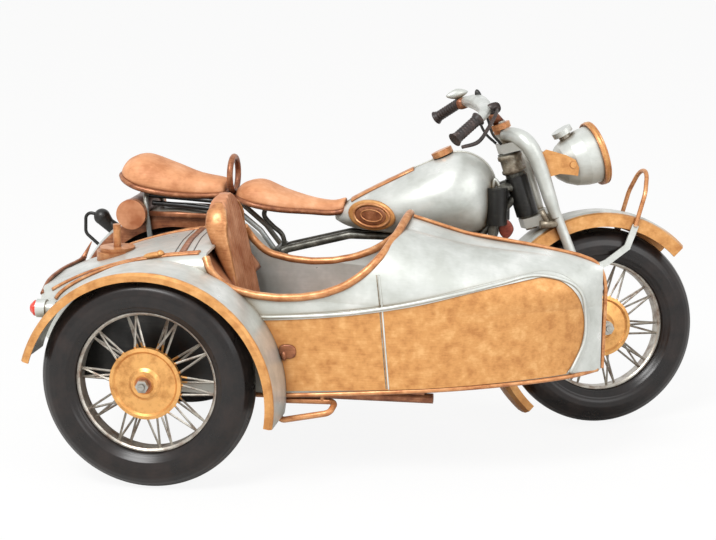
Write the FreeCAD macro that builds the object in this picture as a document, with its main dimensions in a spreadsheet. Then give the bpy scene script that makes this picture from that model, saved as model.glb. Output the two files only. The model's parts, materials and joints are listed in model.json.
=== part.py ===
"""Sidecar motorcycle: a hand-made sheet-metal display model, as a parametric document.

The vehicle frame has its zero at the floor, below the motorcycle's middle plane (y = 0) and in line
with the sidecar axle (x = 0): +X is forward, +Y is left, +Z is up. The sidecar stands on the right.
Every sub-part is built in that frame, and its Placement moves it so that the origin lies on the
floor under the middle of the whole model. The fork and all that turns with it are drawn in the
steering frame, whose own axes run along the steering axis, and are turned by the steering angle.
"""
import FreeCAD, Part
import math
import os
from types import SimpleNamespace

V = FreeCAD.Vector
ROOT = V(0, 0, 0)
LEFT = V(0, 1, 0)
UP = V(0, 0, 1)
FORWARD = V(1, 0, 0)

# ---------------------------------------------------------------- driving sizes, in mm and degrees
SIZES = [
    # alias, value, what it sets
    ("origin_x", 85.1, "middle of the whole length, ahead of the sidecar axle"),
    ("origin_y", -54.1, "middle of the whole width, from the motorcycle's plane"),
    ("tyre_radius", 51.0, "outside of every tyre"),
    ("tyre_section", 10.0, "radius of a tyre's section"),
    ("tyre_sides", 16, "flats round a tyre's section"),
    ("rim_radius", 33.0, "wheel rim, to the seat of the tyre"),
    ("rim_half_width", 3.6, "rim, from the middle to a lip"),
    ("rim_wall", 1.1, "sheet of the rim"),
    ("rim_lip", 0.7, "radius of the rolled rim lip"),
    ("tyre_gap", 0.05, "between a rim lip and its tyre"),
    ("spoke_radius", 0.55, "wire spoke"),
    ("spoke_count", 20, "spokes on each side of a wheel"),
    ("spoke_cross", 9.0, "turn of a spoke from hub to rim, degrees"),
    ("hub_disc_radius", 17.0, "brake disc of the sidecar and rear wheels"),
    ("front_disc_radius", 15.8, "brake disc of the front wheel"),
    ("hub_disc_face", 4.2, "disc's outer edge, from the wheel's middle plane"),
    ("hub_disc_depth", 2.2, "thickness of the disc's edge"),
    ("hub_boss_reach", 9.0, "hub's end, from the wheel's middle plane"),
    ("hub_flange_radius", 11.0, "spoke flange on the far side"),
    ("hub_barrel_radius", 4.6, "hub between its flanges"),
    ("axle_radius", 1.5, "every axle shaft"),
    ("axle_fit", 0.06, "running clearance round an axle"),
    ("side_gap", 0.3, "between a hub's end and what stands beside it"),
    ("nut_across", 5.5, "axle nuts, across the flats"),
    ("nut_height", 2.6, "axle nuts"),
    ("rear_tyre_front", 31.0, "rear tyre's front edge, ahead of the sidecar axle"),
    ("car_side_gap", 36.0, "from the motorcycle's plane to the sidecar body"),
    ("car_half", 42.0, "sidecar body's half width"),
    ("car_wheel_gap", 7.4, "from the sidecar body to its tyre"),
    # steering
    ("head_ahead", 106.0, "steering axis at its reference height, less the tyre's radius"),
    ("head_rise", 26.0, "its reference height above the top of an upright tyre"),
    ("top_tube_drop", 31.5, "top tube below the reference height"),
    ("head_tilt", 18.0, "steering axis, leaning back"),
    ("steer_angle", 22.0, "fork turned to the left, as it stands"),
    ("fork_offset", 18.3, "front axle ahead of the steering axis"),
    ("leg_half_track", 14.2, "fork leg from the middle plane"),
    ("leg_radius", 2.6, "fork leg"),
    ("leg_top", 15.0, "fork leg's shoulder, along the axis from HEAD"),
    ("leg_top_offset", 8.0, "fork leg's shoulder ahead of the axis"),
    ("lug_thickness", 3.0, "plates that hold an axle"),
    ("leg_foot_lag", 3.0, "fork leg's foot behind the front axle"),
    ("stem_radius", 3.0, "steering stem"),
    ("head_radius", 5.0, "head tube"),
    ("head_low", -20.5, "head tube's lower end along the axis"),
    ("head_high", 14.0, "head tube's upper end along the axis"),
    ("clamp_height", 5.0, "fork clamps"),
    ("collar_radius", 5.2, "collar on top of the fork"),
    # headlamp
    ("lamp_axis_s", -1.2, "headlamp's axis, along the steering axis from HEAD"),
    ("lamp_back", 18.8, "back of the bowl ahead of the steering axis"),
    ("lamp_front", 43.2, "front edge of the bowl"),
    ("lamp_radius", 15.2, "bowl at its front edge"),
    ("lamp_wall", 0.9, "bowl's sheet"),
    ("glass_flange", 0.6, "edge of the glass, held between the bowl and its rim"),
    ("bezel_radius", 16.9, "headlamp rim, outside"),
    ("bezel_depth", 3.2, "headlamp rim, front to back"),
    # handlebar
    ("bar_s", 47.0, "handlebar's middle along the steering axis"),
    ("bar_d", -9.0, "handlebar's middle behind the steering axis"),
    ("bar_half", 42.0, "bar's end from the middle plane"),
    ("bar_radius", 2.3, "bar tube"),
    ("grip_radius", 3.1, "handlebar grip"),
    ("bar_roll", 6.5, "bar set down on the right, as clamped, degrees"),
    ("bar_yaw", -5.5, "bar turned in its clamp, degrees"),
    ("cable_radius", 0.7, "control cables"),
    # fenders
    ("fender_wall", 0.9, "every fender's sheet"),
    ("front_fender_gap", 9.4, "front fender's crown above the tyre"),
    ("front_fender_half", 11.4, "front fender's half width"),
    ("front_fender_band", 8.6, "depth of its side bands"),
    ("front_fender_tail_band", 5.8, "depth of its side bands behind the wheel"),
    ("front_fender_tip", 25.5, "front fender's front end, degrees above the way ahead"),
    ("front_fender_taper", 140.0, "where its side bands grow narrow, degrees"),
    ("front_fender_end", 209.0, "its tail's end, degrees"),
    ("rear_fender_gap", 7.0, "rear fender's crown above the tyre"),
    ("rear_fender_half", 12.4, "rear fender's half width"),
    ("rear_fender_band", 9.8, "depth of its sides"),
    ("car_fender_gap", 9.8, "sidecar fender's crown, from the tyre"),
    ("car_fender_x", 0.5, "sidecar fender's centre"),
    ("car_fender_drop", 7.6, "sidecar fender's centre below the axle"),
    ("car_fender_reach", 11.8, "its outer edge beyond the wheel's middle plane"),
    ("car_fender_band", 4.0, "width of its outer band"),
    # sidecar body
    ("car_wall", 1.1, "sidecar body's sheet"),
    ("car_seam_x", 106.0, "seam between the tub and the nose"),
    ("panel_thickness", 0.5, "gilt panels on the body's sides"),
    ("border_thickness", 1.0, "raised border round a gilt panel"),
    ("border_width", 2.4, "raised border round a gilt panel"),
    ("bead_radius", 1.0, "bead along the nose's ridge"),
    ("rim_tube_radius", 1.9, "rolled rim of the cockpit"),
    ("chassis_tube", 2.4, "sidecar chassis tubes"),
    ("chassis_z", 38.4, "chassis tubes' height"),
    ("chassis_half", 24.0, "chassis tubes from the body's middle plane"),
    # frame
    ("frame_tube", 2.3, "motorcycle frame tubes"),
    ("cradle_z", 31.0, "lower frame tubes' height"),
    ("exhaust_z", 28.6, "height of the exhaust pipes"),
    ("sleeve_radius", 5.7, "black sleeves on the head and the down tubes"),
    ("cylinder_gap", 2.5, "from a cylinder's end to the sidecar body"),
    ("cylinder_radius", 7.6, "engine cylinders between their fins"),
    ("fin_radius", 11.0, "their fins"),
]

doc = FreeCAD.newDocument("SidecarMotorcycle")
sheet = doc.addObject("Spreadsheet::Sheet", "Sizes")
for row, (alias, value, note) in enumerate(SIZES, start=1):
    sheet.set(f"A{row}", alias)
    sheet.set(f"B{row}", str(value))
    sheet.setAlias(f"B{row}", alias)
    sheet.set(f"C{row}", note)
doc.recompute()
S = SimpleNamespace(**{alias: float(sheet.get(alias)) for alias, value, note in SIZES})

# ---------------------------------------------------------------- places worked out from the sizes
STEER = math.radians(S.steer_angle)
TILT = math.radians(S.head_tilt)
HEAD = V(S.head_ahead + S.tyre_radius, 0, S.head_rise + 2 * S.tyre_radius)
TOP = HEAD.z - S.top_tube_drop
STEER_AXIS = V(-math.sin(TILT), 0, math.cos(TILT))
STEER_AHEAD = V(math.cos(TILT), 0, math.sin(TILT))
CAMBER = math.asin(math.sin(STEER) * math.sin(TILT))
TYRE_EDGE = S.tyre_section * math.tan(math.pi / S.tyre_sides)
FRONT_AXLE_Z = S.tyre_radius * math.cos(CAMBER) + TYRE_EDGE * math.sin(CAMBER)
FRONT_AXLE_S = (
    FRONT_AXLE_Z - HEAD.z - S.fork_offset * math.cos(STEER) * math.sin(TILT)
) / math.cos(TILT)
TO_ORIGIN = V(-S.origin_x, -S.origin_y, 0)
STANDING = FreeCAD.Placement(TO_ORIGIN, FreeCAD.Rotation())
STEERED = STANDING * FreeCAD.Placement(ROOT, FreeCAD.Rotation(STEER_AXIS, S.steer_angle), HEAD)
AXLE_CLEAR = S.axle_radius + S.axle_fit
FAR_Y = -S.car_side_gap
CAR_Y = FAR_Y - S.car_half
NEAR_Y = CAR_Y - S.car_half
TRACK = -NEAR_Y + S.car_wheel_gap + S.tyre_section
FRONT_FENDER_R = S.tyre_radius + S.front_fender_gap
REAR_FENDER_R = S.tyre_radius + S.rear_fender_gap
CAR_FENDER_R = S.tyre_radius + S.car_fender_gap


def fork_point(along, ahead, side):
    """Point of the steering frame: along the axis from HEAD, ahead of it, and to the left."""
    return HEAD + STEER_AXIS * along + STEER_AHEAD * ahead + LEFT * side


# ---------------------------------------------------------------- shapes used by many pieces
def rod(start, end, radius):
    """Round bar between two points."""
    return Part.makeCylinder(radius, (end - start).Length, start, end - start)


def cone(start, end, radius, end_radius):
    """Round bar that tapers between two points."""
    return Part.makeCone(radius, end_radius, (end - start).Length, start, end - start)


def fused(shapes):
    """One solid from shapes that overlap."""
    whole = shapes[0].multiFuse(shapes[1:])
    return whole.removeSplitter()


def prism(points, sweep):
    """Flat outline carried along a vector."""
    return Part.Face(Part.makePolygon(list(points) + [points[0]])).extrude(sweep)


def box(low, high):
    """Upright box between two corners."""
    return Part.makeBox(high.x - low.x, high.y - low.y, high.z - low.z, low)


def turned(profile, centre, axis, degrees=360.0):
    """Closed outline turned about an axis."""
    face = Part.Face(Part.makePolygon(list(profile) + [profile[0]]))
    return face.revolve(centre, axis, degrees)


def bent_wire(points, bend):
    """Straight runs joined by tangent arcs, each no larger than its two runs allow."""
    edges = []
    start = points[0]
    for before, corner, after in zip(points, points[1:], points[2:]):
        into = (corner - before).normalize()
        out = (after - corner).normalize()
        turn = into.getAngle(out)
        if turn < 0.02:
            continue
        room = 0.48 * min((corner - before).Length, (after - corner).Length)
        cut = min(bend * math.tan(turn / 2), room)
        radius = cut / math.tan(turn / 2)
        inward = (out - into).normalize()
        middle = corner + inward * (radius / math.cos(turn / 2) - radius)
        enter = corner - into * cut
        leave = corner + out * cut
        if (enter - start).Length > 1e-6:
            edges.append(Part.LineSegment(start, enter).toShape())
        edges.append(Part.Arc(enter, middle, leave).toShape())
        start = leave
    edges.append(Part.LineSegment(start, points[-1]).toShape())
    return Part.Wire(edges)


def tube(points, radius, bend=6.0):
    """Round tube or wire along straight runs and tangent arcs."""
    path = bent_wire(points, bend)
    section = Part.Wire(Part.makeCircle(radius, points[0], points[1] - points[0]))
    return path.makePipeShell([section], True, False)


def ring(centre, axis, radius, section):
    """Round wire bent into a ring."""
    return Part.makeTorus(radius, section, centre, axis)


def disc(centre, axis, radius, thickness):
    """Disc centred on a point."""
    half = V(axis).normalize() * (thickness / 2)
    return rod(centre - half, centre + half, radius)


def on_both_sides(make):
    """Compound of what a function makes for the right side (-1) and for the left side (1)."""
    return Part.makeCompound([make(side) for side in (-1, 1)])


pieces = {}
drawn = {}


def piece(name, source, placement=STANDING):
    """Adds a sub-part with its own label and place to the document, and keeps its shape as drawn.

    The source is a shape, or a document object that is made of bound primitives.
    """
    if isinstance(source, Part.Shape):
        item = doc.addObject("Part::Feature", name)
        item.Shape = source
    else:
        item = source
        doc.recompute()
    item.Label = name
    drawn[name] = item.Shape.copy()
    if placement is STANDING and item.Placement.isIdentity():
        item.setExpression("Placement.Base.x", "-Sizes.origin_x")
        item.setExpression("Placement.Base.y", "-Sizes.origin_y")
    else:
        item.Placement = placement.multiply(item.Placement)
    pieces[name] = item
    return item


def bound(kind, name, place=ROOT, rotation=None, **sizes):
    """Part object whose properties follow expressions on the sheet of sizes."""
    item = doc.addObject(f"Part::{kind}", name)
    for prop, expression in sizes.items():
        item.setExpression(prop, expression)
    item.Placement = FreeCAD.Placement(place, rotation or FreeCAD.Rotation())
    return item


def joined(name, parts):
    """Fusion of document objects."""
    item = doc.addObject("Part::MultiFuse", name)
    item.Shapes = parts
    return item


def cut_out(name, base, tool):
    """Document object less another."""
    item = doc.addObject("Part::Cut", name)
    item.Base = base
    item.Tool = tool
    return item


ALONG_Y = FreeCAD.Rotation(UP, LEFT)


# ---------------------------------------------------------------- wheels and tyres
def spoke(start, end):
    """Square wire between a hub and a rim."""
    out = (end - start).normalize()
    side = out.cross(LEFT).normalize() * S.spoke_radius
    other = out.cross(side)
    return prism([start + side, start + other, start - side, start - other], end - start)


def wheel_shape(disc_radius):
    """Spoked wheel about the Y axis, its brake disc on the right: rim, hub and two rows of spokes."""
    well = S.rim_radius - S.rim_wall
    half = S.rim_half_width
    lip_out = S.rim_lip / 2
    lip_across = S.rim_lip * math.sqrt(3) / 2
    lip_outline = [
        # out from the rim's radius, across from its edge
        (0.0, -lip_across), (lip_out, -lip_across), (S.rim_lip, 0.0), (lip_out, lip_across),
        (-lip_out, lip_across),
    ]
    left_lip = [(S.rim_radius + out, half + across) for out, across in lip_outline] + [(well, half)]
    right_lip = [(reach, -across) for reach, across in left_lip]
    solids = [turned([V(reach, across, 0) for reach, across in left_lip + right_lip[::-1]], ROOT, LEFT)]
    edge = -S.hub_disc_face
    face = edge - S.hub_disc_depth
    dish = 0.45 * disc_radius
    solids.append(turned([
        V(0, edge, 0),
        V(disc_radius, edge, 0),
        V(disc_radius, face, 0),
        V(disc_radius - 1.6, face - 0.5, 0),
        V(disc_radius - 2.6, face + 0.5, 0),
        V(dish, face - 0.3, 0),
        V(dish - 1.5, face - 1.4, 0),
        V(S.hub_barrel_radius, face - 1.4, 0),
        V(S.hub_barrel_radius - 0.8, -S.hub_boss_reach, 0),
        V(0, -S.hub_boss_reach, 0),
    ], ROOT, LEFT))
    solids.append(rod(V(0, edge, 0), V(0, S.hub_boss_reach, 0), S.hub_barrel_radius))
    solids.append(disc(V(0, S.hub_disc_face, 0), LEFT, S.hub_flange_radius, 1.8))
    step = 360.0 / S.spoke_count
    rows = [
        # hub radius, hub side, rim side, first angle
        (disc_radius - 1.0, -S.hub_disc_face - 0.6, -1.2, 0.0),
        (S.hub_flange_radius - 1.0, S.hub_disc_face, 1.2, step / 2),
    ]
    for hub_radius, hub_side, rim_side, first in rows:
        for k in range(int(S.spoke_count)):
            angle = math.radians(first + k * step)
            lean = math.radians(S.spoke_cross if k % 2 else -S.spoke_cross)
            start = V(hub_radius * math.cos(angle), hub_side, hub_radius * math.sin(angle))
            reach = S.rim_radius - S.rim_wall / 2
            end = V(reach * math.cos(angle + lean), rim_side, reach * math.sin(angle + lean))
            solids.append(spoke(start, end))
    whole = solids[0].multiFuse(solids[1:])
    bore = rod(V(0, -S.tyre_radius, 0), V(0, S.tyre_radius, 0), AXLE_CLEAR)
    return whole.cut(bore)


def tyre(name, centre):
    """Tyre of flat bands about an axle along Y, cut to its seat on the rim's lips."""
    flat_out = FreeCAD.Rotation(UP, 180 / S.tyre_sides)
    section = bound("RegularPolygon", f"{name}_section", centre, flat_out, Polygon="Sizes.tyre_sides",
                    Circumradius="Sizes.tyre_section / cos(180deg / Sizes.tyre_sides)")
    section.setExpression("Placement.Base.x", f"{centre.x} + Sizes.tyre_radius - Sizes.tyre_section")
    body = doc.addObject("Part::Revolution", f"{name}_body")
    body.Source = section
    body.Axis = LEFT
    body.Base = centre
    body.Angle = 360
    body.Solid = True
    bore = bound("Cylinder", f"{name}_bore", centre - LEFT * (2 * S.tyre_section), ALONG_Y,
                 Radius="Sizes.rim_radius + Sizes.rim_lip + Sizes.tyre_gap",
                 Height="4 * Sizes.tyre_section")
    return cut_out(f"{name}_cut", body, bore)


def at(shape, centre):
    """The shape moved to a centre."""
    copy = shape.copy()
    copy.translate(centre)
    return copy


REAR_AXLE = V(S.rear_tyre_front - S.tyre_radius, 0, S.tyre_radius)
CAR_AXLE = V(0, -TRACK, S.tyre_radius)
FRONT_AXLE = fork_point(FRONT_AXLE_S, S.fork_offset, 0)
WHEELS = [
    # name, centre, brake disc radius, placement
    ("rear", REAR_AXLE, S.hub_disc_radius, STANDING),
    ("sidecar", CAR_AXLE, S.hub_disc_radius, STANDING),
    ("front", FRONT_AXLE, S.front_disc_radius, STEERED),
]
for name, centre, disc_radius, placement in WHEELS:
    piece(f"{name}_wheel", at(wheel_shape(disc_radius), centre), placement)
    piece(f"{name}_tyre", tyre(name, centre), placement)


# ---------------------------------------------------------------- fenders
def fender(centre, radius, half, skirt, first, last, axis=LEFT, start=FORWARD):
    """Curved channel over a wheel: a crowned top with a side band on each side.

    The section is turned about the axle from the first to the last angle above the start direction.
    """
    out = FreeCAD.Rotation(axis * -1, first).multVec(start)
    wall = S.fender_wall
    crown = radius - 2.2
    outline = [
        (skirt, -half), (crown, -half), (radius - 0.5, -0.72 * half), (radius, -0.3 * half),
        (radius, 0.3 * half), (radius - 0.5, 0.72 * half), (crown, half), (skirt, half),
        (skirt, half - wall), (crown - 0.3, half - wall),
        (radius - 0.5 - wall, 0.68 * half), (radius - wall, 0.28 * half),
        (radius - wall, -0.28 * half), (radius - 0.5 - wall, -0.68 * half),
        (crown - 0.3, wall - half), (skirt, wall - half),
    ]
    profile = [centre + out * reach + axis * side for reach, side in outline]
    return turned(profile, centre, axis * -1, last - first)


def fender_span(radius, half, band, first, last):
    """Stretch of the front fender between two angles, with side bands of one depth."""
    return fender(FRONT_AXLE, radius, half, radius - band, first, last, LEFT, STEER_AHEAD)


taper_lap = 0.5
piece("front_fender", fused([
    fender_span(FRONT_FENDER_R, S.front_fender_half, S.front_fender_band,
                S.front_fender_tip, S.front_fender_taper),
    fender_span(FRONT_FENDER_R, S.front_fender_half, S.front_fender_tail_band,
                S.front_fender_taper - taper_lap, S.front_fender_end),
]), STEERED)
piece("rear_fender", fender(
    REAR_AXLE, REAR_FENDER_R, S.rear_fender_half, REAR_FENDER_R - S.rear_fender_band, 14.0, 184.0))

# ---------------------------------------------------------------- axles and their nuts
THREAD_SHOWS = 1.0


def axle_with_nuts(name, centre, right, left, nut_sides):
    """Shaft from its right to its left end, with a nut outside each side named."""
    length = bound("Cylinder", f"{name}_shaft", centre + LEFT * right, ALONG_Y, Radius="Sizes.axle_radius")
    length.Height = left - right
    parts = [length]
    for side in nut_sides:
        end = centre + LEFT * (left if side > 0 else right)
        out = ALONG_Y if side > 0 else FreeCAD.Rotation(UP, LEFT * -1)
        nut = bound("Prism", f"{name}_nut", end, out, Height="Sizes.nut_height",
                    Circumradius="Sizes.nut_across / sqrt(3)")
        nut.Polygon = 6
        tip = bound("Cylinder", f"{name}_thread", end, out, Height=f"Sizes.nut_height + {THREAD_SHOWS}",
                    Radius="Sizes.axle_radius - 0.1")
        parts += [nut, tip]
    return joined(f"{name}_parts", parts)


lug_face = S.leg_half_track + S.lug_thickness / 2
piece("front_axle", axle_with_nuts("front_axle", FRONT_AXLE, -lug_face, lug_face, (-1, 1)), STEERED)
stay_y = S.rear_fender_half + S.frame_tube + 0.6
stay_face = stay_y + S.lug_thickness / 2
piece("rear_axle", axle_with_nuts("rear_axle", REAR_AXLE, -stay_face, stay_face, (-1, 1)))

# ---------------------------------------------------------------- front fork
leg_axle = fork_point(FRONT_AXLE_S, S.fork_offset - S.leg_foot_lag, 0)
fork_parts = []
for side in (-1, 1):
    y = side * S.leg_half_track
    shoulder = fork_point(S.leg_top, S.leg_top_offset, y)
    foot = leg_axle + LEFT * y
    top = fork_point(S.leg_top + 7.5, 1.5, side * 3.0)
    fork_parts.append(tube([top, shoulder, foot], S.leg_radius, 9.0))
    lug = FRONT_AXLE + LEFT * y
    fork_parts.append(disc(lug, LEFT, 3.6, S.lug_thickness))
    fork_parts.append(disc(foot, LEFT, 3.4, S.lug_thickness))
low_clamp = S.head_low - S.side_gap - S.clamp_height
top_clamp = S.head_high + S.side_gap
half = S.leg_half_track
for base, ahead in ((low_clamp, 9.5), (top_clamp, 5.5)):
    corners = [
        fork_point(base, -4.2, -4.5), fork_point(base, ahead, -half),
        fork_point(base, ahead + 3.5, -half), fork_point(base, ahead + 3.5, half),
        fork_point(base, ahead, half), fork_point(base, -4.2, 4.5),
    ]
    fork_parts.append(prism(corners, STEER_AXIS * S.clamp_height))
stem_low = fork_point(low_clamp - 1.5, 0, 0)
stem_high = fork_point(30.5, 0, 0)
fork_parts.append(rod(stem_low, stem_high, S.stem_radius))
piece("front_fork", fused(fork_parts).cut(drawn["front_axle"]), STEERED)

# collar screwed on the stem, over the upper clamp
COLLAR_FOOT = 24.5
ALONG_STEM = FreeCAD.Rotation(UP, STEER_AXIS)
collar_hub = bound("Cylinder", "collar_hub", fork_point(COLLAR_FOOT, 0, 0), ALONG_STEM,
                   Radius="Sizes.collar_radius - 1")
collar_hub.Height = 2.1
collar_cap = bound("Cylinder", "collar_cap", fork_point(COLLAR_FOOT + 2.0, 0, 0), ALONG_STEM,
                   Radius="Sizes.collar_radius")
collar_cap.Height = 3.0
collar_bore = bound("Cylinder", "collar_bore", fork_point(COLLAR_FOOT - 1.0, 0, 0), ALONG_STEM,
                    Radius="Sizes.stem_radius")
collar_bore.Height = 8.0
piece("fork_collar", cut_out("collar", joined("collar_body", [collar_hub, collar_cap]), collar_bore), STEERED)

# ---------------------------------------------------------------- headlamp
def lamp_point(ahead, out):
    """Point above the headlamp's axis, in the steering frame's middle plane."""
    return fork_point(S.lamp_axis_s + out, ahead, 0)


lamp_centre = lamp_point(0, 0)
depth = S.lamp_front - S.lamp_back
bowl_outline = [
    # share of the depth, share of the radius
    (0.0, 0.0), (0.02, 0.22), (0.1, 0.44), (0.25, 0.66), (0.45, 0.84), (0.7, 0.95), (1.0, 1.0),
]
outer = [lamp_point(S.lamp_back + a * depth, b * S.lamp_radius) for a, b in bowl_outline]
inner_radius = S.lamp_radius - S.lamp_wall
inner = [
    lamp_point(S.lamp_back + S.lamp_wall + a * (depth - S.lamp_wall), b * inner_radius)
    for a, b in bowl_outline
]
bowl = turned(outer + inner[::-1], lamp_centre, STEER_AHEAD)
piece("headlamp_bowl", bowl, STEERED)
bezel_back = S.lamp_front - 0.8
seat = S.lamp_front + S.glass_flange
bezel = turned([
    lamp_point(bezel_back, S.lamp_radius + 0.05),
    lamp_point(bezel_back + 0.4, S.bezel_radius - 0.3),
    lamp_point(bezel_back + 1.4, S.bezel_radius),
    lamp_point(bezel_back + S.bezel_depth - 0.8, S.bezel_radius - 0.3),
    lamp_point(bezel_back + S.bezel_depth, S.bezel_radius - 1.4),
    lamp_point(bezel_back + S.bezel_depth, S.lamp_radius - 1.4),
    lamp_point(seat, S.lamp_radius - 1.4),
    lamp_point(seat, S.lamp_radius + 0.05),
], lamp_centre, STEER_AHEAD)
piece("headlamp_rim", bezel, STEERED)
glass_radius = S.lamp_radius - 1.45
glass = turned([
    lamp_point(S.lamp_front, 0), lamp_point(S.lamp_front, S.lamp_radius),
    lamp_point(seat, S.lamp_radius), lamp_point(seat, glass_radius),
    lamp_point(seat + 1.4, glass_radius), lamp_point(seat + 2.8, 0.7 * glass_radius),
    lamp_point(seat + 3.6, 0.35 * glass_radius), lamp_point(seat + 3.9, 0),
], lamp_centre, STEER_AHEAD)
piece("headlamp_glass", glass, STEERED)

knob_lean = math.radians(14.0)
knob_axis = STEER_AXIS * math.cos(knob_lean) - STEER_AHEAD * math.sin(knob_lean)
knob_foot = lamp_point(31.0, 13.2)
bowl_solid = turned(outer + [lamp_point(S.lamp_front, 0)], lamp_centre, STEER_AHEAD)
piece("lamp_knob", fused([
    rod(knob_foot - knob_axis * 0.6, knob_foot + knob_axis * 2.4, 3.2),
    rod(knob_foot + knob_axis * 1.6, knob_foot + knob_axis * 4.4, 5.4),
]).cut(bowl_solid), STEERED)

ear_outline = [
    # along the steering axis, ahead of it
    (9.6, 12.4), (10.6, 15.6), (7.6, 20.2), (4.6, 24.6), (0.8, 28.6), (-3.6, 29.2), (-7.4, 27.4),
    (-5.4, 23.4), (-3.4, 18.7), (-3.0, 12.4),
]
ears = []
for side in (-1, 1):
    y = side * (S.leg_half_track - 0.9)
    ears.append(prism([fork_point(a, d, y) for a, d in ear_outline], LEFT * (side * 1.2)))
    pin_y = side * (S.leg_half_track + 1.0)
    ears.append(rod(
        fork_point(S.lamp_axis_s, 26.5, side * 8.0), fork_point(S.lamp_axis_s, 26.5, pin_y), 1.6))
    tab = [fork_point(a, d, y) for a, d in ((9.4, 8.4), (9.4, 13.0), (-2.6, 13.0), (-2.6, 10.0))]
    ears.append(prism(tab, LEFT * (side * 1.2)))
ear_solids = [fused(ears[0:3]), fused(ears[3:6])]
ear_shape = Part.makeCompound([ear.cut(drawn["front_fork"]).cut(bowl_solid) for ear in ear_solids])
piece("lamp_brackets", ear_shape, STEERED)

# ---------------------------------------------------------------- handlebar
bar_centre = fork_point(S.bar_s, S.bar_d, 0)
BAR_SET = FreeCAD.Placement(ROOT, FreeCAD.Rotation(STEER_AHEAD, -S.bar_roll), bar_centre)
BAR_SET = BAR_SET * FreeCAD.Placement(ROOT, FreeCAD.Rotation(STEER_AXIS, S.bar_yaw), bar_centre)


def bar_point(along, ahead, side):
    """Point of the handlebar, from the middle of its clamp."""
    return BAR_SET.multVec(bar_centre + STEER_AXIS * along + STEER_AHEAD * ahead + LEFT * side)


bar_path = []
for side, along, ahead in (
    (-1, -6.5, -3.4), (-1, -2.2, -1.4), (0, 0, 0), (1, -2.2, -1.4), (1, -6.5, -3.4),
):
    reach = S.bar_half if along < -5 else 0.86 * S.bar_half
    bar_path.append(bar_point(along, ahead, side * reach))
stem_top = bar_point(0, 0, 0)
stem_bottom = fork_point(30.5, 0, 0)
bar = fused([
    tube(bar_path, S.bar_radius, 9.0),
    rod(stem_bottom, stem_top, 2.6),
    rod(bar_point(0, 0, -4.5), bar_point(0, 0, 4.5), 3.4),
])
bar = bar.cut(drawn["front_fork"])
piece("handlebar", bar, STEERED)
grips = []
for side in (-1, 1):
    y = side * S.bar_half
    inner_end = bar_point(-6.2, -3.0, y - side * 0.4)
    outer_end = bar_point(-14.0, -21.5, y + side * 3.4)
    grips.append(rod(inner_end, outer_end, S.grip_radius))
piece("handlebar_grips", Part.makeCompound([grip.cut(bar) for grip in grips]), STEERED)
levers = []
for side in (-1, 1):
    y = side * S.bar_half
    lever = tube([
        bar_point(1.0, 1.0, y - side * 5.0), bar_point(1.0, 4.4, y - side * 1.0),
        bar_point(-3.0, 3.0, y + side * 4.5), bar_point(-11.0, -11.0, y + side * 7.4),
        bar_point(-14.6, -19.5, y + side * 7.4),
    ], 0.8, 5.0)
    perch = disc(bar_point(0.2, 0.4, y - side * 5.0), LEFT, 3.1, 2.4)
    levers.append(fused([lever, perch]).cut(bar))
piece("hand_levers", Part.makeCompound(levers), STEERED)

# ---------------------------------------------------------------- front fender's hoop and straps
hoop_angle = math.radians(55.0)
hoop_out = STEER_AXIS * math.sin(hoop_angle) + STEER_AHEAD * math.cos(hoop_angle)
hoop_wire = 1.15
hoop_side = S.front_fender_half + hoop_wire - 0.2
hoop_line = [
    # from the fender's crown, outwards, and to the side
    (-6.4, -hoop_side), (11.6, -hoop_side), (23.1, -5.5), (23.1, 5.5), (11.6, hoop_side), (-6.4, hoop_side),
]
hoop = tube([
    FRONT_AXLE + hoop_out * (FRONT_FENDER_R + out) + LEFT * side for out, side in hoop_line
], hoop_wire, 10.0).cut(drawn["front_fender"])
piece("fender_hoop", hoop, STEERED)
strap_width = 3.4
strap_thickness = 1.1
strap_lap = 0.9
strap_line = [
    # along the steering axis and ahead, from the front axle
    (44.2, 31.0), (35.6, 23.8), (31.6, 11.0), (30.2, -5.0),
]


def fender_strap(side):
    """Flat strap from the hoop's foot down the front fender's side to a fork leg."""
    line = [
        FRONT_AXLE + STEER_AXIS * a + STEER_AHEAD * d + LEFT * (side * S.front_fender_half)
        for a, d in strap_line
    ]
    runs = []
    for start, end in zip(line, line[1:]):
        run = (end - start).normalize()
        across = run.cross(LEFT) * (strap_width / 2)
        first = start - run * strap_lap
        last = end + run * strap_lap
        runs.append(prism([first + across, last + across, last - across, first - across],
                          LEFT * (side * strap_thickness)))
    return fused(runs).cut(hoop).cut(drawn["front_fork"])


piece("fender_straps", on_both_sides(fender_strap), STEERED)

# ---------------------------------------------------------------- control cables
cable_line = [
    # along the steering axis, ahead of it, and from the middle plane
    (S.bar_s - 3.0, -7.5, 11.0), (S.bar_s - 8.0, 1.0, 12.0), (S.bar_s - 16.0, 5.0, 11.5),
    (top_clamp + S.clamp_height, 6.5, 9.5),
]


def control_cable(side):
    """Cable from under the handlebar down to the upper clamp, with a ferrule at its foot."""
    points = [fork_point(a, d, side * y) for a, d, y in cable_line]
    foot = points[-1]
    ferrule = rod(foot, foot + STEER_AXIS * 2.4, 2 * S.cable_radius)
    return fused([tube(points, S.cable_radius, 12.0), ferrule]).cut(bar).cut(drawn["front_fork"])


piece("control_cables", on_both_sides(control_cable), STEERED)

# ---------------------------------------------------------------- fuel tank and saddles
def loft(wires):
    """Solid through closed sections."""
    return Part.makeLoft(wires, True)


TANK = [
    # x, half width, underside and top above the top tubes
    (63.5, 2.2, 7.0, 11.5),
    (72.0, 10.5, 3.5, 18.6),
    (88.0, 18.0, 1.5, 27.4),
    (108.0, 22.0, 0.5, 37.2),
    (126.0, 21.5, 1.0, 44.3),
    (138.0, 16.5, 3.0, 41.4),
    (145.0, 7.0, 9.0, 33.4),
]
TANK_WAIST = 0.45


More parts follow.
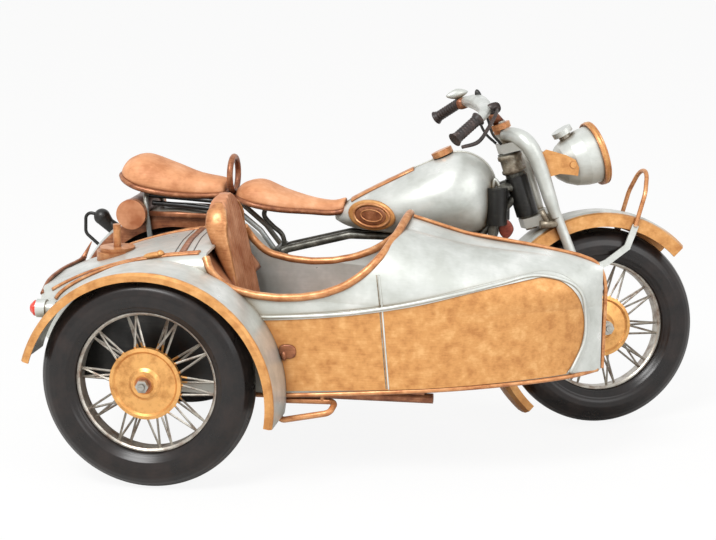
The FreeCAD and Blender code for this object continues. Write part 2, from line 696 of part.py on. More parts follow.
def tank_body(skin):
    """The tank, larger all round by a skin: sections of two arcs that meet at its widest height."""
    wires = []
    for x, half, low, high in TANK:
        low += TOP - skin
        high += TOP + skin
        waist = low + (high - low) * TANK_WAIST
        right = V(x, -half - skin, waist)
        left = V(x, half + skin, waist)
        over = Part.Arc(right, V(x, 0, high), left).toShape()
        under = Part.Arc(left, V(x, 0, low), right).toShape()
        wires.append(Part.Wire([over, under]))
    return loft(wires)


tank_solid = tank_body(0.0)
cap_axis = V(-0.42, 0, 0.907)
cap_foot = V(119.6, 0, TOP + 41.7)
cap = fused([rod(cap_foot - cap_axis * 1.0, cap_foot + cap_axis * 2.0, 4.0),
             rod(cap_foot + cap_axis * 0.8, cap_foot + cap_axis * 3.8, 5.6)])
piece("tank_cap", cap.cut(tank_solid))

SADDLES = [
    # name, rows of x, half width, underside and top above the top tubes
    ("rider_saddle", [
        (10.5, 5.0, 17.7, 21.5), (15.0, 12.0, 17.1, 26.1), (24.0, 15.5, 15.3, 26.9),
        (36.0, 13.5, 13.3, 22.1), (50.0, 8.5, 11.9, 18.5), (62.0, 6.0, 11.1, 17.1), (67.5, 4.6, 12.1, 18.5),
    ]),
    ("pillion_saddle", [
        (-52.5, 6.0, 27.1, 30.0), (-48.0, 13.0, 25.1, 35.7), (-38.0, 17.5, 22.7, 39.3),
        (-24.0, 16.5, 20.9, 35.3), (-8.0, 11.0, 19.9, 30.1), (5.0, 7.5, 19.5, 27.5),
    ]),
]
saddles = {}
for name, rows in SADDLES:
    wires = []
    for x, half, low, high in rows:
        right = V(x, -half, TOP + low)
        left = V(x, half, TOP + low)
        crown = Part.Arc(right, V(x, 0, TOP + high), left).toShape()
        wires.append(Part.Wire([crown, Part.LineSegment(left, right).toShape()]))
    saddles[name] = loft(wires)

# ---------------------------------------------------------------- motorcycle frame
down_x = HEAD.x - 9.0
down_y = 7.4
cradle_front = HEAD.x - 35.0
cradle_rear = 34.0
cradle_y = 11.0
post_x = 33.0
post_top = TOP - 9.5
stay_radius = 0.9 * S.frame_tube
rail_radius = 1.4


def front_rails(side):
    """Down tube and cradle, top tube and seat post of one side."""
    down = tube([
        fork_point(-4.0, -2.0, side * 2.0), V(down_x, side * down_y, HEAD.z - 4.0),
        V(HEAD.x - 11.5, side * down_y, TOP + 0.5), V(HEAD.x - 25.0, side * 8.0, TOP - 16.5),
        V(HEAD.x - 32.0, side * 10.0, S.cradle_z + 19.0), V(cradle_front, side * 10.0, S.cradle_z),
        V(cradle_rear, side * cradle_y, S.cradle_z),
    ], S.frame_tube, 9.0)
    top = tube([
        fork_point(-8.0, -2.0, side * 1.5), V(HEAD.x - 19.0, side * 5.0, TOP), V(71.0, side * 5.0, TOP),
        V(36.0, side * 5.5, TOP - 9.0), V(30.0, side * 8.0, TOP - 14.5),
    ], stay_radius, 9.0)
    post = rod(V(post_x, side * 8.5, post_top), V(post_x, side * 10.5, S.cradle_z), S.frame_tube)
    return [down, top, post]


def cross_rod(x, half, z, radius):
    """Cross tube of the frame."""
    return rod(V(x, -half, z), V(x, half, z), radius)


head_bottom = fork_point(S.head_low, 0, 0)
head_top = fork_point(S.head_high, 0, 0)
rails = front_rails(-1) + front_rails(1)
rails += [
    cross_rod(post_x, 11.5, post_top, S.frame_tube),
    cross_rod(cradle_front, cradle_y, S.cradle_z, 2.0),
    cross_rod(cradle_rear + 2.5, 12.0, S.cradle_z, 2.0),
    cross_rod(60.0, 22.0, S.cradle_z, 1.6),
    rod(head_bottom, head_top, S.head_radius),
    rod(head_top - STEER_AXIS * 3.0, head_top, S.head_radius + 0.7),
]
stem_bore = rod(fork_point(-60, 0, 0), fork_point(60, 0, 0), S.stem_radius + S.axle_fit)
frame = fused(rails).cut(stem_bore).cut(drawn["rear_fender"])
piece("frame", frame)


def rear_side(side):
    """Chain stay, seat stay, axle lug and rack rail of one side, up to the front part of the frame."""
    lug = REAR_AXLE + LEFT * (side * stay_y)
    parts = [
        tube([V(cradle_rear, side * cradle_y, S.cradle_z), V(8.0, side * stay_y, S.cradle_z + 9.0), lug],
             S.frame_tube, 9.0),
        tube([V(post_x, side * 8.0, post_top), V(14.0, side * stay_y, TOP - 24.5), lug], stay_radius, 6.0),
        disc(lug, LEFT, 4.2, S.lug_thickness),
        tube([
            lug, V(REAR_AXLE.x - 13.0, side * stay_y, TOP - 8.5),
            V(REAR_AXLE.x - 16.0, side * (S.rear_fender_half + rail_radius + 0.4), TOP + 14.0),
            V(REAR_AXLE.x - 17.0, side * 10.0, TOP + 21.9), V(4.0, side * 8.0, TOP + 18.1),
            V(24.0, side * 7.0, TOP + 1.5), V(post_x, side * 7.6, post_top - 1.0),
        ], rail_radius, 8.0),
    ]
    return fused(parts).cut(drawn["rear_axle"]).cut(drawn["rear_fender"]).cut(frame)


rear_frame = on_both_sides(rear_side)
piece("rear_frame", rear_frame)


def down_sleeve(side):
    """Sleeve on the upper end of one down tube."""
    low = V(down_x, side * down_y, HEAD.z - 23.0)
    return rod(low, V(down_x, side * down_y, HEAD.z - 4.0), S.sleeve_radius - 0.4)


head_sleeve = rod(fork_point(S.head_low + 1.0, 0, 0), fork_point(1.0, 0, 0), S.sleeve_radius)
head_core = rod(fork_point(-60, 0, 0), fork_point(60, 0, 0), S.head_radius)
sleeves = Part.makeCompound([
    sleeve.cut(frame).cut(head_core) for sleeve in (down_sleeve(-1), down_sleeve(1), head_sleeve)
])
piece("frame_sleeves", sleeves)
tank_solid = tank_solid.cut(frame).cut(sleeves)
piece("fuel_tank", tank_solid)

pad_thickness = 0.8
pad_middle = V(84.3, 0, TOP + 13.1)
pad_half_length = 13.7
pad_half_height = 7.4
pad_reach = LEFT * -40
pad_oval = Part.Ellipse(
    pad_middle + pad_reach + FORWARD * pad_half_length, pad_middle + pad_reach + UP * pad_half_height,
    pad_middle + pad_reach)
pad_column = Part.Face(Part.Wire(pad_oval.toShape())).extrude(pad_reach * -2)
piece("knee_pads", tank_body(pad_thickness).common(pad_column).cut(tank_body(0.0)))

plate_half = 8.0
plate_low = V(-36.0, -plate_half, TOP + 21.7)
plate_high = V(10.0, -plate_half, TOP + 17.9)
plate_sheet = UP * 1.0
rack_plate = prism(
    [plate_low + plate_sheet, plate_high + plate_sheet, plate_high, plate_low], LEFT * (2 * plate_half))
rack_plate = rack_plate.cut(rear_frame)
piece("rack_plate", rack_plate)
piece("pillion_saddle", saddles["pillion_saddle"].cut(rear_frame).cut(rack_plate))
rider_saddle = saddles["rider_saddle"].cut(tank_solid).cut(frame).cut(rear_frame)
piece("rider_saddle", rider_saddle)
grab_centre = V(8.4, 0, TOP + 29.5)
grab_ring = ring(grab_centre, FORWARD, 9.3, 1.6)
piece("grab_handle", grab_ring.cut(rack_plate).cut(rear_frame).cut(drawn["pillion_saddle"]))

# ---------------------------------------------------------------- engine
engine_half = 12.5
case_front, case_rear = 100.0, 52.0
case = fused([
    box(V(case_rear, -engine_half, 36), V(case_front, engine_half, 62)),
    rod(V(96, -engine_half, 52), V(96, engine_half, 52), 12.0),
    rod(V(58, -engine_half, 50), V(58, engine_half, 50), 14.0),
    box(V(62, -9, 60), V(92, 9, 74)),
    box(V(56, -12, S.cradle_z), V(64, 12, 40)),
    box(V(88, -12, S.cradle_z), V(96, 12, 44)),
]).cut(frame)
piece("engine_case", case)
cylinder_axis = V(90, 0, 55)
cylinder_end = S.car_side_gap - S.cylinder_gap
FIN_COUNT = 6
FIN_PITCH = 2.6
cylinder_pair = []
for side, turn in ((-1, FreeCAD.Rotation(UP, LEFT * -1)), (1, ALONG_Y)):
    out = LEFT * side
    barrel = bound("Cylinder", "cylinder_barrel", cylinder_axis + out * engine_half, turn,
                   Radius="Sizes.cylinder_radius",
                   Height=f"Sizes.car_side_gap - Sizes.cylinder_gap - 3.5 - {engine_half}")
    head = bound("Cone", "cylinder_head", cylinder_axis + out * (cylinder_end - 4.5), turn,
                 Radius1="Sizes.fin_radius - 1.4", Radius2="Sizes.cylinder_radius - 0.2")
    head.Height = 4.5
    parts = [barrel, head]
    for k in range(FIN_COUNT):
        place = cylinder_axis + out * (engine_half + 1.5 + k * FIN_PITCH)
        fin = bound("Cylinder", "cylinder_fin", place, turn, Radius="Sizes.fin_radius")
        fin.Height = 1.1
        parts.append(fin)
    cylinder_pair.append(joined("cylinder_side", parts))
both_cylinders = doc.addObject("Part::Compound", "cylinders_pair")
both_cylinders.Links = cylinder_pair
piece("engine_cylinders", both_cylinders)
gearbox = fused([
    box(V(37, -10.5, 36), V(case_rear - S.side_gap, 10.5, 60)),
    rod(V(45, -10.5, 56), V(45, 10.5, 56), 8.0),
])
piece("gearbox", gearbox.cut(frame).cut(case))
pipe_y = 23.5
pipe_radius = 2.2
muffler_radius = 4.4


def exhaust(side):
    """Pipe from a cylinder down and back into its muffler, with the muffler's hanger."""
    y = side * pipe_y
    low = S.exhaust_z
    parts = [
        tube([V(99.5, y, 55), V(110, y, 52), V(110, y, 38), V(96, y, low), V(20, y, low)], pipe_radius, 7.0),
        cone(V(20, y, low), V(10, y, low), pipe_radius + 0.4, muffler_radius),
        rod(V(10, y, low), V(-44, y, low), muffler_radius),
        cone(V(-44, y, low), V(-52, y, low), muffler_radius, pipe_radius + 0.2),
        rod(V(8.0, side * stay_y, S.cradle_z + 9.0), V(6.0, y, low), 1.1),
    ]
    return fused(parts).cut(rear_frame).cut(frame).cut(drawn["engine_cylinders"])


piece("exhaust_pipes", on_both_sides(exhaust))

# ---------------------------------------------------------------- luggage roll, rear lamp, saddle springs
def over_rear(out, degrees, side=0.0):
    """Point above the rear fender's crown, at an angle round the rear axle."""
    angle = math.radians(degrees)
    reach = REAR_FENDER_R + out
    return REAR_AXLE + V(reach * math.cos(angle), side, reach * math.sin(angle))


roll_centre = over_rear(1.8, 112.0)
roll_radius = 7.4
roll_half = 19.0
cap_half = roll_half + 1.4
cap_inner = roll_half - 2.5
roll = fused([
    rod(roll_centre - LEFT * roll_half, roll_centre + LEFT * roll_half, roll_radius),
    rod(roll_centre - LEFT * cap_half, roll_centre - LEFT * cap_inner, roll_radius + 0.5),
    rod(roll_centre + LEFT * cap_inner, roll_centre + LEFT * cap_half, roll_radius + 0.5),
])
over_fender = disc(REAR_AXLE, LEFT, REAR_FENDER_R, 2 * S.rear_fender_half)
piece("luggage_roll", roll.cut(over_fender).cut(rear_frame).cut(drawn["pillion_saddle"]))
bulb = over_rear(9.0, 131.7)
bulb_radius = 4.4
guard_line = [
    # above the fender's crown, angle round the axle
    (10.7, 132.0), (17.0, 135.6), (9.8, 142.8), (-1.4, 143.6),
]
rear_lamp = fused([
    rod(over_rear(-1.2, 129.3), over_rear(3.5, 130.8), 2.6),
    cone(over_rear(-0.2, 131.9), bulb, 2.6, bulb_radius),
    Part.makeSphere(bulb_radius, bulb),
    tube([over_rear(out, degrees) for out, degrees in guard_line], 0.9, 4.0),
])
piece("rear_lamp", rear_lamp.cut(over_fender))
spring_y = 7.5
spring_wire = 1.1
spring_line = [
    # x, and height above the top tubes
    (27.6, 13.9), (23.8, 8.9), (30.0, 2.3), (34.4, -4.5),
]


def spring_path(side):
    """Smooth line down a saddle spring."""
    path = Part.BSplineCurve()
    path.interpolate([V(x, side * spring_y, TOP + z) for x, z in spring_line])
    return path


spring_parts = [cross_rod(spring_line[0][0], spring_y + 1.5, TOP + spring_line[0][1] + 0.6, 1.6)]
for side in (-1, 1):
    wire = Part.Wire(spring_path(side).toShape())
    edge = wire.Edges[0]
    section = Part.Wire(Part.makeCircle(
        spring_wire, edge.valueAt(edge.FirstParameter), edge.tangentAt(edge.FirstParameter)))
    spring_parts.append(wire.makePipeShell([section], True, False))
springs = fused(spring_parts)
piece("saddle_springs", springs.cut(frame).cut(rear_frame).cut(rider_saddle))

# ---------------------------------------------------------------- sidecar body
CAR = [
    # x, side inside the widest, underside, wall's top, crown's edge inside the widest and its height, ridge
    (-60.0, 8.0, 66.0, 78.0, 15.0, 87.0, 88.5),
    (-30.0, 2.0, 46.0, 88.0, 8.0, 97.5, 98.5),
    (14.0, 0.0, 41.0, 97.0, 6.0, 106.5, 107.5),
    (60.0, 0.0, 41.5, 90.0, 12.0, 112.0, 115.5),
    (106.0, 0.0, 45.0, 86.0, 28.0, 118.5, 122.5),
    (140.0, 5.0, 47.0, 82.0, 33.0, 110.8, 113.4),
    (172.0, 16.5, 48.5, 82.0, 36.0, 106.6, 108.6),
    (192.0, 27.5, 49.5, 82.0, 38.0, 103.2, 105.0),
    (205.0, 40.4, 50.0, 82.0, 41.2, 99.5, 100.5),
]
SHOULDER_OUT = 0.74
SHOULDER_UP = 0.72
OUTSIDE_Y = NEAR_Y - 20.0
ACROSS = LEFT * (2 * S.car_half + 40.0)


def car_section(row, inset, x):
    """Section of the sidecar body: floor, two walls, two shoulder arcs and a ridged crown."""
    station, side_in, low, wall_top, crown_in, crown_z, ridge = row
    half = max(S.car_half - side_in - inset, 0.5)
    low = low + inset
    crown_half = max(S.car_half - crown_in - 0.5 * inset, 0.3)
    crown_z = crown_z - inset
    ridge = ridge - inset
    edges = [Part.LineSegment(V(x, CAR_Y - half, low), V(x, CAR_Y + half, low)).toShape()]
    for side in (1, -1):
        foot = V(x, CAR_Y + side * half, low)
        wall = V(x, CAR_Y + side * half, wall_top)
        crown = V(x, CAR_Y + side * crown_half, crown_z)
        bulge = V(x, CAR_Y + side * (crown_half + (half - crown_half) * SHOULDER_OUT),
                  wall_top + (crown_z - wall_top) * SHOULDER_UP)
        top = V(x, CAR_Y, ridge)
        runs = [Part.LineSegment(foot, wall), Part.Arc(wall, bulge, crown), Part.LineSegment(crown, top)]
        if side < 0:
            runs = [Part.LineSegment(top, crown), Part.Arc(crown, bulge, wall), Part.LineSegment(wall, foot)]
        edges += [run.toShape() for run in runs]
    return Part.Wire(edges)


def car_loft(inset):
    """The sidecar body's outer form, smaller all round by an inset, or larger if that is negative."""
    return loft([car_section(row, inset, row[0]) for row in CAR])


car_outer = car_loft(0.0)
inner_rows = [(row, row[0]) for row in CAR]
inner_rows[0] = (CAR[0], CAR[0][0] + S.car_wall)
inner_rows[-1] = (CAR[-1], CAR[-1][0] - 2.5)
car_inner = loft([car_section(row, S.car_wall, x) for row, x in inner_rows])
car_shell = car_outer.cut(car_inner)


def side_face(arcs, corners):
    """Face in a plane beside the sidecar, bounded by arcs and then by straight runs, given as x and z."""
    edges = []
    for start, middle, end in arcs:
        edges.append(Part.Arc(*[V(x, OUTSIDE_Y, z) for x, z in (start, middle, end)]).toShape())
    points = [V(x, OUTSIDE_Y, z) for x, z in [arcs[-1][2]] + corners + [arcs[0][0]]]
    for start, end in zip(points, points[1:]):
        edges.append(Part.LineSegment(start, end).toShape())
    return Part.Face(Part.Wire(edges))


RIM_LINE = [
    # arcs of the cockpit's edge seen from the side: start, middle and end as x and z
    ((23.0, 105.6), (27.4, 98.0), (36.0, 91.6)),
    ((36.0, 91.6), (57.0, 88.4), (79.0, 91.2)),
    ((79.0, 91.2), (98.5, 101.6), (110.6, 117.0)),
]
cockpit_cut = side_face(RIM_LINE, [(113.6, 126.0), (60.0, 140.0), (18.0, 126.0)]).extrude(ACROSS)
car_open = car_shell.cut(cockpit_cut)
behind_seam = box(V(-80, OUTSIDE_Y, 20), V(S.car_seam_x, OUTSIDE_Y + ACROSS.y, 150))
piece("sidecar_tub", car_open.common(behind_seam))
piece("sidecar_nose", car_open.cut(behind_seam))


def wall_y(x, z):
    """Right-hand outer face of the sidecar body at a place seen from the side."""
    probe = Part.LineSegment(V(x, OUTSIDE_Y - 20.0, z), V(x, CAR_Y, z)).toShape()
    return probe.common(car_outer).BoundBox.YMin


rim_points = []
for start, middle, end in RIM_LINE:
    arc = Part.Arc(*[V(x, 0, z) for x, z in (start, middle, end)])
    first, last = arc.FirstParameter, arc.LastParameter
    for k in range(4):
        rim_points.append(arc.value(first + (last - first) * k / 4.0))
rim_points.append(V(110.6, 0, 117.0))
near_rim = [V(p.x, wall_y(p.x, p.z), p.z) for p in rim_points]
far_rim = [V(p.x, 2 * CAR_Y - p.y, p.z) for p in near_rim]
near_rim.append(V(112.6, CAR_Y - 6, 121.6))
far_rim.append(V(112.6, CAR_Y + 6, 121.6))
rim_path = near_rim + far_rim[::-1]
cockpit_rim = tube(rim_path, S.rim_tube_radius, 30.0)
piece("cockpit_rim", cockpit_rim.cut(car_open))

# ---------------------------------------------------------------- sidecar fender
car_centre = V(S.car_fender_x, -TRACK, S.tyre_radius - S.car_fender_drop)
fender_near = -S.car_fender_reach
fender_far = TRACK + NEAR_Y - 0.05
fender_first, fender_last = -9.5, 163.5
CAR_FENDER_EDGE = [
    # inwards from the crown, across from the wheel's middle plane
    (S.car_fender_band, fender_near), (1.4, fender_near), (0.2, fender_near + 1.2), (0.0, fender_near + 3.0),
    (0.0, fender_far), (S.fender_wall, fender_far), (S.fender_wall, fender_near + 3.4),
    (S.fender_wall + 0.3, fender_near + 1.9), (1.8, fender_near + S.fender_wall),
    (S.car_fender_band, fender_near + S.fender_wall),
]
fender_start = FreeCAD.Rotation(LEFT * -1, fender_first).multVec(FORWARD)
fender_profile = [
    car_centre + fender_start * (CAR_FENDER_R - inwards) + LEFT * across
    for inwards, across in CAR_FENDER_EDGE
]
fender_sheet = turned(fender_profile, car_centre, LEFT * -1, fender_last - fender_first)
car_fender = fender_sheet.cut(car_outer).cut(drawn["cockpit_rim"])
piece("sidecar_fender", car_fender)

# ---------------------------------------------------------------- gilt side panels and their borders
PANEL_LINE = [
    # arcs of a panel's upper and front edge: start, middle and end as x and z
    ((39.5, 77.2), (90.0, 81.4), (138.0, 90.6)),
    ((138.0, 90.6), (158.0, 94.8), (176.0, 98.0)),
    ((176.0, 98.0), (190.5, 93.0), (196.4, 82.0)),
    ((196.4, 82.0), (196.6, 66.0), (189.6, 51.2)),
]
panel_face = side_face(PANEL_LINE, [(106.0, 46.6), (39.5, 42.8)])
panel_column = panel_face.extrude(ACROSS)
behind_fender = disc(car_centre, LEFT, CAR_FENDER_R + 0.1, 2 * (TRACK + FAR_Y))
panel_layer = car_loft(-S.panel_thickness).cut(car_outer).common(panel_column)
piece("gold_panels", panel_layer.cut(behind_fender).cut(drawn["cockpit_rim"]))
border_face = Part.Face(panel_face.OuterWire.makeOffset2D(S.border_width)).cut(panel_face)
border_column = border_face.extrude(ACROSS).cut(box(V(20, OUTSIDE_Y, 20), V(188.0, OUTSIDE_Y + ACROSS.y, 60)))
border_column = border_column.cut(box(V(20, OUTSIDE_Y, 20), V(210.0, OUTSIDE_Y + ACROSS.y, 52.0)))
border_layer = car_loft(-S.border_thickness).cut(car_outer).common(border_column)
piece("panel_borders", border_layer.cut(behind_fender).cut(drawn["cockpit_rim"]))

# ---------------------------------------------------------------- sidecar fittings
bead_points = [V(row[0], CAR_Y, row[6] + 0.3) for row in CAR[4:]]
bead_points[0] = V(115.0, CAR_Y, 121.0)
bead_points[-1] = V(203.0, CAR_Y, 101.6)
bead_points += [V(206.4, CAR_Y, 92.0), V(206.0, CAR_Y, 70.0), V(205.6, CAR_Y, 50.6)]
piece("nose_bead", tube(bead_points, S.bead_radius, 30.0).cut(car_outer))

BACK_SIDE = [
    # inside the body's half width, and up, from the seat to the middle of the back's top
    (0.5, 64.0), (0.5, 82.0), (5.5, 86.0), (5.5, 100.0), (7.0, 113.0), (13.0, 121.5), (24.0, 126.8),
]
BACK_TOP = 129.0


def back_x(z):
    """Front face of the leaning seat back at a height."""
    return 40.5 - (z - 88.0) * 0.34


back_right = [V(back_x(z), CAR_Y - S.car_half + inset, z) for inset, z in BACK_SIDE]
back_left = [V(p.x, 2 * CAR_Y - p.y, p.z) for p in back_right]
back_points = back_right + [V(back_x(BACK_TOP), CAR_Y, BACK_TOP)] + back_left[::-1]
seat_back = prism(back_points, V(-8.0, 0, -1.5)).cut(car_open)
piece("sidecar_seat_back", seat_back)
cushion_half = S.car_half - 8.0
base_half = S.car_half - 12.0
base_top = 49.98
cushion = box(V(44.0, CAR_Y - cushion_half, base_top + 0.02), V(92.0, CAR_Y + cushion_half, 64.0))
piece("sidecar_seat_cushion", cushion.makeFillet(4.0, cushion.Edges).cut(seat_back))
seat_base = box(V(46.0, CAR_Y - base_half, 40.0), V(90.0, CAR_Y + base_half, base_top))
piece("sidecar_seat_base", seat_base.common(car_inner))

carrier_x = -31.9
post_length = 11.5


def carrier_point(z):
    """Point on the spare wheel carrier's upright axis."""
    return V(carrier_x, CAR_Y, z)


carrier = fused([
    rod(carrier_point(92.0), carrier_point(99.6), 10.2),
    rod(carrier_point(99.6), carrier_point(101.4), 8.6),
    rod(carrier_point(101.0), carrier_point(101.0 + post_length), 1.9),
])
piece("spare_wheel_carrier", carrier.cut(car_outer))

lamp_angle = math.radians(139.0)
lamp_reach = CAR_FENDER_R - 1.1
lamp_seat = car_centre + V(lamp_reach * math.cos(lamp_angle), 2.9, lamp_reach * math.sin(lamp_angle))


def lamp_disc(front, back, radius):
    """Round step of the sidecar's tail lamp, between two distances behind its seat."""
    return rod(lamp_seat - FORWARD * front, lamp_seat - FORWARD * back, radius)


under_fender = disc(car_centre, LEFT, CAR_FENDER_R, 2 * S.car_fender_reach)
lamp_body = fused([lamp_disc(0.0, 6.0, 3.4), lamp_disc(4.5, 9.0, 4.3)])
piece("sidecar_lamp_body", lamp_body.cut(under_fender))
piece("sidecar_lamp_lens", fused([
    lamp_disc(9.05, 10.3, 3.7),
    cone(lamp_seat - FORWARD * 10.3, lamp_seat - FORWARD * 12.1, 3.7, 2.0),
]))
STEP_LINE = [
    # x, out from the body's side, z
    (58.0, -2.0, 38.9), (84.5, -2.0, 39.4), (83.0, 7.0, 36.4), (59.5, 6.0, 31.4), (57.0, -1.0, 36.5),
    (57.0, -3.0, 40.9),
]
step = fused([
    tube([V(x, NEAR_Y - out, z) for x, out, z in STEP_LINE], 1.45, 3.0),
    rod(V(78, NEAR_Y + 2.0, 39.2), V(78, NEAR_Y + 2.0, 41.8), 1.4),
])
piece("step_loop", step.cut(car_outer).cut(car_fender).cut(drawn["gold_panels"]))

# ---------------------------------------------------------------- sidecar chassis
inner_y = CAR_Y + S.chassis_half
outer_y = CAR_Y - S.chassis_half
cross_front = 118.0
lug_y = -TRACK + S.hub_boss_reach + 2.0 + S.chassis_tube
chassis = []
for y in (outer_y, inner_y):
    chassis.append(rod(V(-28.0, y, S.chassis_z), V(128.0, y, S.chassis_z), S.chassis_tube))
    chassis.append(box(V(cross_front, y - 1.5, S.chassis_z), V(cross_front + 6.0, y + 1.5, 47.5)))
for x in (0.0, cross_front):
    chassis.append(rod(V(x, outer_y, S.chassis_z), V(x, inner_y, S.chassis_z), S.chassis_tube))
chassis += [
    tube([
        V(0.0, outer_y, S.chassis_z), V(0.0, NEAR_Y + 1.0, S.chassis_z), V(0.0, lug_y, S.tyre_radius - 7.0),
        V(0.0, lug_y, S.tyre_radius + 1.0),
    ], S.chassis_tube, 5.0),
    disc(V(0.0, lug_y, S.tyre_radius), LEFT, 4.4, 2 * S.chassis_tube),
    tube([
        V(cross_front, inner_y, S.chassis_z), V(cross_front, FAR_Y, S.chassis_z),
        V(cross_front, -14.5, S.cradle_z + 2.0), V(cross_front, -cradle_y, S.cradle_z + 0.8),
    ], S.chassis_tube, 6.0),
    tube([
        V(0.0, inner_y, S.chassis_z), V(0.0, FAR_Y + 2.0, S.chassis_z), V(20.0, -16.0, S.cradle_z + 5.5),
        V(27.0, -13.0, S.cradle_z + 2.6),
    ], S.chassis_tube, 6.0),
]
axle_hole = rod(CAR_AXLE, CAR_AXLE + LEFT * (TRACK + CAR_Y), S.axle_radius)
piece("sidecar_chassis", fused(chassis).cut(car_outer).cut(frame).cut(rear_frame).cut(axle_hole))
piece("sidecar_axle", axle_with_nuts(
    "sidecar_axle", CAR_AXLE, -S.hub_boss_reach - S.side_gap, lug_y + TRACK + S.chassis_tube, (-1,)))

# ---------------------------------------------------------------- checks and files
doc.recompute()
for item in doc.Objects:
    if {"Invalid", "Error"} & set(item.State):
        raise RuntimeError(f"{item.Name} failed: {item.State}")
for name, item in pieces.items():
    shape = item.Shape
    if shape.isNull() or not shape.isValid():
        raise RuntimeError(f"{name} has no valid shape")
os.makedirs("parts", exist_ok=True)
for name, item in pieces.items():
    item.Shape.exportStep(f"parts/{name}.step")
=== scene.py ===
"""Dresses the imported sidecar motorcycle: finishes for its solids, and surfaces that replace some of them."""

from __future__ import annotations

import json
import logging
import math
from dataclasses import dataclass, field, replace
from enum import Enum
from typing import Any

import bmesh
import bpy
import numpy as np
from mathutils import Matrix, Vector
from mathutils.bvhtree import BVHTree

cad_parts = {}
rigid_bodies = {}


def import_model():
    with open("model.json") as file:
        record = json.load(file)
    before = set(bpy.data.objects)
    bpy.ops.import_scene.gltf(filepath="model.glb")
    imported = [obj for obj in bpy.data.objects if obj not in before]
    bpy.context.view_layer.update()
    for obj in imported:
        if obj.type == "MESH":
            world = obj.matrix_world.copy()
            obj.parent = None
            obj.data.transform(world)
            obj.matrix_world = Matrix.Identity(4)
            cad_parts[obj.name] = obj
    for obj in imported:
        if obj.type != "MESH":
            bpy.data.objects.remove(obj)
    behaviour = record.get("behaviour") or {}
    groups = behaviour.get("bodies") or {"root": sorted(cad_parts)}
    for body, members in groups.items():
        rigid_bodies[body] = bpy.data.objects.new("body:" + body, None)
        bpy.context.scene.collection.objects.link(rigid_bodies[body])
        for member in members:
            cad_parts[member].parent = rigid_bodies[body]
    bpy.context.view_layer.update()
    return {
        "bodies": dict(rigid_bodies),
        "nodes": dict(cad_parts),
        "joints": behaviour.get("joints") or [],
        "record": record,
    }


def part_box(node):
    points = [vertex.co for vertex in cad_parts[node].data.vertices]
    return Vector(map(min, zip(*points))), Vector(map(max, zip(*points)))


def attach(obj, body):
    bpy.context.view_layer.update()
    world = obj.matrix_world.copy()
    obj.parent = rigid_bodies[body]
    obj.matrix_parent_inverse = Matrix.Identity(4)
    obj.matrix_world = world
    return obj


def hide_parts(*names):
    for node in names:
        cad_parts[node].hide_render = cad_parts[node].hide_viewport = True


LOG = logging.getLogger("sidecar_motorcycle")
MM = 0.001
SIDES = (-1, 1)
# A Mix node takes numbers at 2 and 3, and with this setting colours at 6 and 7; they leave at 0 and at 2.
RGBA = {"data_type": "RGBA"}
Array = np.ndarray
Tree = bpy.types.NodeTree
Socket = bpy.types.NodeSocket
Point = tuple[float, float, float]
Table = tuple[tuple[float, ...], ...]
AHEAD, LEFT, UP = np.eye(3)


class Slot(Enum):
    """The record's material slots, passed along with new pieces."""

    TYRE = "tyre_rubber"
    SILVER = "silver_sheet"
    COPPER = "copper_trim"
    SADDLE = "copper_saddle"
    GILT = "gold_panel"
    DARK = "dark_steel"
    BRIGHT = "bright_steel"
    GRIP = "grip_rubber"


# ---------------------------------------------------------------- colours and nodes


def linear(code: str) -> tuple[float, ...]:
    """Turns an sRGB hex colour c into a linear one: c / 12.92 up to 0.04045, or ((c + 0.055) / 1.055)^2.4.

    Args:
        code: A hash and six hex digits.

    Returns:
        Red, green and blue from 0 to 1, with an alpha of 1.
    """
    channels = np.array([int(code[i : i + 2], 16) for i in (1, 3, 5)]) / 255.0
    bent = np.where(channels <= 0.04045, channels / 12.92, ((channels + 0.055) / 1.055) ** 2.4)
    return *map(float, bent), 1.0


def add_node(
    tree: Tree, kind: str, inputs: dict[str | int, Any] | None = None, settings: dict[str, Any] | None = None
) -> bpy.types.Node:
    """Adds a node with its settings and what goes into it.

    Args:
        tree: The node tree that gets the node.
        kind: The node's type name, after ShaderNode.
        inputs: For each input, by name or number, the socket that feeds it or its own value.
        settings: Properties of the node itself.

    Returns:
        The new node.
    """
    node = tree.nodes.new(f"ShaderNode{kind}")
    for name, value in (settings or {}).items():
        setattr(node, name, value)
    for key, value in (inputs or {}).items():
        if isinstance(value, Socket):
            tree.links.new(value, node.inputs[key])
        else:
            node.inputs[key].default_value = value
    return node


def new_material(name: str) -> tuple[bpy.types.Material, Tree]:
    """Makes a node material.

    Args:
        name: The material's name.

    Returns:
        The material, and its node tree, which is empty.
    """
    material = bpy.data.materials.new(name)
    material.use_nodes = True
    material.node_tree.nodes.clear()
    return material, material.node_tree


# ---------------------------------------------------------------- surfaces worked out with numpy


def unit(vectors: Array) -> Array:
    """Scales each vector of an array to a length of one."""
    return vectors / np.linalg.norm(vectors, axis=-1, keepdims=True)


def smooth_line(points: Any, count: int) -> Array:
    """Runs a Catmull-Rom curve through points: each stretch is a cubic in the four points around it.

    Args:
        points: The points that the curve passes, in order.
        count: How many points to work out.

    Returns:
        An array of count points along the curve.
    """
    points = np.asarray(points, float)
    padded = np.vstack([2 * points[0] - points[1], points, 2 * points[-1] - points[-2]])
    place = np.linspace(0, len(points) - 1, count)
    index = np.minimum(place.astype(int), len(points) - 2)
    t = (place - index)[:, None]
    a, b, c, d = (padded[index + k] for k in range(4))
    return 0.5 * (2 * b + (c - a) * t + (2 * a - 5 * b + 4 * c - d) * t**2 + (3 * b - a - 3 * c + d) * t**3)


